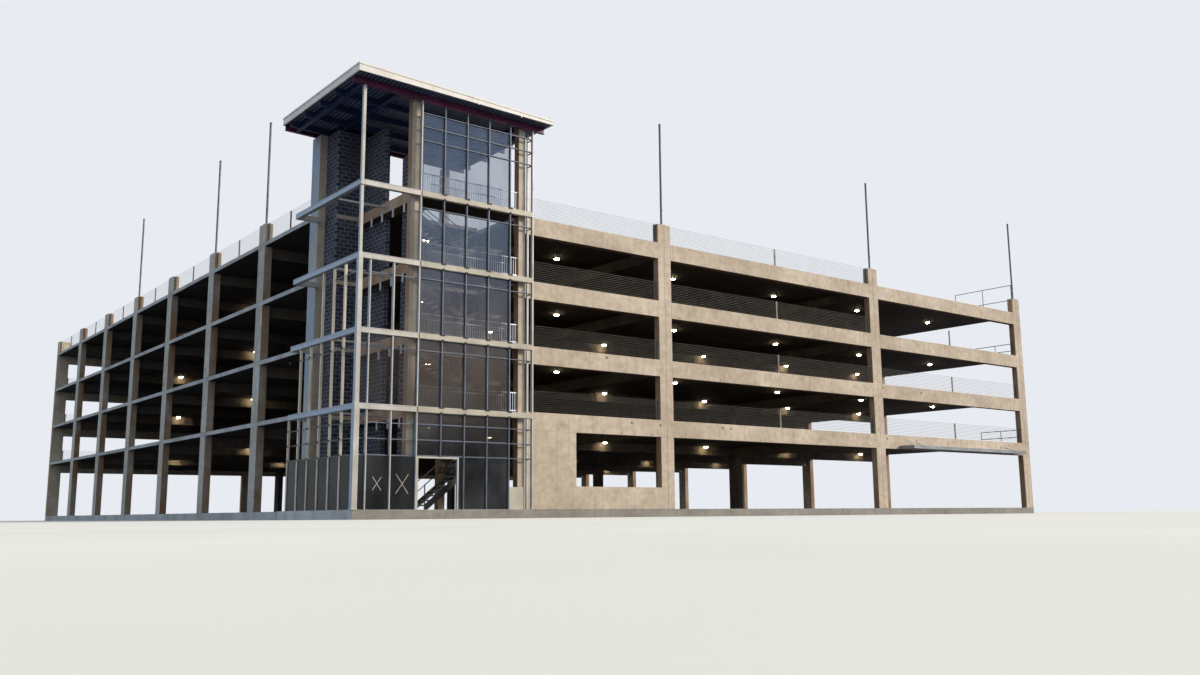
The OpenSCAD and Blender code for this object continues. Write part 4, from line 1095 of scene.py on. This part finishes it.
def form_marks():
    """Marks of the forms. Cone holes stand at x and a drop from the lowest beam's top, then at even
    steps on each beam, and the rear has the same. Pockets are at x, level and drop."""
    low, high = solid_boxes("front_edge_beams")
    tops = np.unique(np.round(high[:, 2], 4))
    face = low[:, 1].min()
    seen_x, seen_drop = np.array(SEEN_CONES).T
    even_x = np.concatenate([np.arange(start, end, CONE_PITCH) for start, end in CONE_RUNS])
    cones = np.concatenate([places_at(seen_x, face, tops[0] - seen_drop)]
                           + [places_at(x, face, tops[level] - CONE_DROPS[level])
                              for level, x in ((0, even_x), (2, even_x[::2]), (1, even_x[1::2]))])
    rear_cones = cones * (X + UP) + node_box("rear_edge_beams")[1][1] * Y
    # Painted shade: the cone holes are thin raised discs, marked dark where a recess would hold shade.
    add_piece("form_holes", "concrete_face",
              joined([turned(cones, -Y, CONE, 12), turned(rear_cones, Y, CONE, 12)]),
              smooth=True, mark=0.8)
    pockets = np.array([(x, face, tops[level] - drop) for x, level, drop in SEEN_POCKETS])
    # Painted shade: the pockets are thin raised plates, marked dark in the same way.
    add_piece("form_pockets", "concrete_face", raised(pockets, POCKET_HALF, -Y, POCKET), mark=0.75)
    column_low, column_high = solid_boxes("front_columns")
    fin = (column_low + column_high)[:, :1] / 2 * X + column_low[:, 1:2] * Y
    add_piece("column_fins", "concrete_face",
              runs(fin + column_low[:, 2:] * UP, fin + column_high[:, 2:] * UP, FIN, X, -Y), mark=0.45)
    pour = places_at(POUR_X, face, tops[:, None])
    add_piece("pour_joints", "concrete_face",
              runs(pour - (high - low)[0, 2] * UP, pour, POUR_JOINT, X, -Y), mark=0.3)


# Stair: a nosing on each tread

NOSING = [(-0.004, -0.012), (0.004, -0.012), (0.010, 0.001), (0.028, 0.001), (0.028, 0.004),
          (-0.004, 0.004)]


def stair_nosings():
    """A nosing along each tread's front: its left edge in the near flights and its right edge in
    the far ones."""
    low, high = solid_boxes("stair_flights")
    near = (low + high)[:, 1] / 2 < (low[:, 1].min() + high[:, 1].max()) / 2
    x = np.where(near, low[:, 0], high[:, 0])
    start = places_at(x, low[:, 1], high[:, 2])
    end = places_at(x, high[:, 1], high[:, 2])
    add_piece("stair_nosings", "galvanised_steel",
              joined([runs(start[side], end[side], NOSING, direction, UP)
                      for side, direction in ((near, X), (~near, -X))]))


# Stage, light and camera

FLOOR_RINGS = 24
FLOOR_SIDES = 96
SUN_FROM = np.array([0.76, -0.62, 0.42])
EYE = (-23.296, -36.559, 0.052)
TURN = 0.667
TILT = 0.164
ROLL = -0.008


def lay_floor():
    """A pale floor: rings of points round the middle, ever further apart, with four sided faces
    between them and one face inside the first."""
    radius = np.concatenate([[0.5], np.geomspace(5.0, 700.0, FLOOR_RINGS)])
    angle = np.arange(FLOOR_SIDES) * 2 * np.pi / FLOOR_SIDES
    points = places_at(np.outer(radius, np.cos(angle)), np.outer(radius, np.sin(angle)), 0.0)
    number = np.arange(len(points)).reshape(len(radius), FLOOR_SIDES)
    faces = np.stack([number[:-1], number[1:], np.roll(number[1:], -1, axis=1),
                      np.roll(number[:-1], -1, axis=1)], axis=-1).reshape(-1, 4)
    floor = add_object("floor", (points, [faces, number[:1]]))
    f = Finish("floor")
    pale = f.mix(f.spread(f.noise(0.4, 5.0), 0.35, 0.7), shade(228, 220, 207), shade(235, 227, 214))
    seen = f.add("LightPath", out="Is Camera Ray")
    f.done(Base_Color=f.mix(seen, shade(94, 98, 106), pale), Roughness=0.95)
    floor.data.materials.append(f.material)


def placement(right, top, back, place=(0.0, 0.0, 0.0)):
    """A place and three directions for a lamp or a camera, which looks against back."""
    directions = Matrix(np.column_stack([right, top, back]).tolist())
    return Matrix.Translation(place) @ directions.to_4x4()


def add_sun():
    """A soft low sun from the front and right."""
    sun = bpy.data.objects.new("sun", bpy.data.lights.new("sun", "SUN"))
    sun.data.energy = 3.45
    sun.data.angle = 0.2
    sun.data.color = (1.0, 0.92, 0.80)
    bpy.context.scene.collection.objects.link(sun)
    back = SUN_FROM / np.linalg.norm(SUN_FROM)
    side = np.cross(UP, back)
    side /= np.linalg.norm(side)
    sun.matrix_world = placement(side, np.cross(back, side), back)


def add_sky():
    """Cool light from the sky, and a pale background where the camera, a mirror or clear glass
    sees it."""
    world = bpy.data.worlds.new("sky")
    bpy.context.scene.world = world
    world.use_nodes = True
    sky = Nodes(world.node_tree)
    sky.tree.nodes.clear()
    camera, glossy, through = (sky.add("LightPath", out=f"Is {kind} Ray")
                               for kind in ("Camera", "Glossy", "Transmission"))
    seen = sky.math("MAXIMUM", sky.math("MAXIMUM", camera, glossy), through)
    cool = sky.add("Background", {"Color": (0.69, 0.83, 1.0, 1.0), "Strength": 0.8})
    pale = sky.add("Background", {"Color": shade(232, 236, 242)})
    out = sky.tree.nodes.new("ShaderNodeOutputWorld")
    sky.put(out.inputs[0], sky.add("MixShader", {0: seen, 1: cool, 2: pale}))


def add_camera():
    """The camera as fitted to the photo: its eye, turn to the right, tilt up, roll and lens."""
    ahead = np.array([np.sin(TURN) * np.cos(TILT), np.cos(TURN) * np.cos(TILT), np.sin(TILT)])
    level = np.array([np.cos(TURN), -np.sin(TURN), 0.0])
    head = np.cross(level, ahead)
    right = level * np.cos(ROLL) + head * np.sin(ROLL)
    top = head * np.cos(ROLL) - level * np.sin(ROLL)
    camera = bpy.data.objects.new("camera", bpy.data.cameras.new("camera"))
    bpy.context.scene.collection.objects.link(camera)
    camera.matrix_world = placement(right, top, -ahead, EYE)
    camera.data.sensor_width = 36.0
    camera.data.lens = 32.206
    camera.data.clip_start = 0.05
    camera.data.clip_end = 1500.0
    bpy.context.scene.camera = camera


finish_solids()
round_arrises()
block_walls()
frame_lips()
mullion_caps()
level_caps()
clips()
pane_gaskets()
tape_marks()
roof_steel()
roof_edge()
mast_fittings()
tower_cleats()
barrier_fittings()
lamps()
canopy_fittings()
form_marks()
stair_nosings()
lay_floor()
add_sun()
add_sky()
add_camera()
bpy.context.scene.view_settings.view_transform = "Standard"
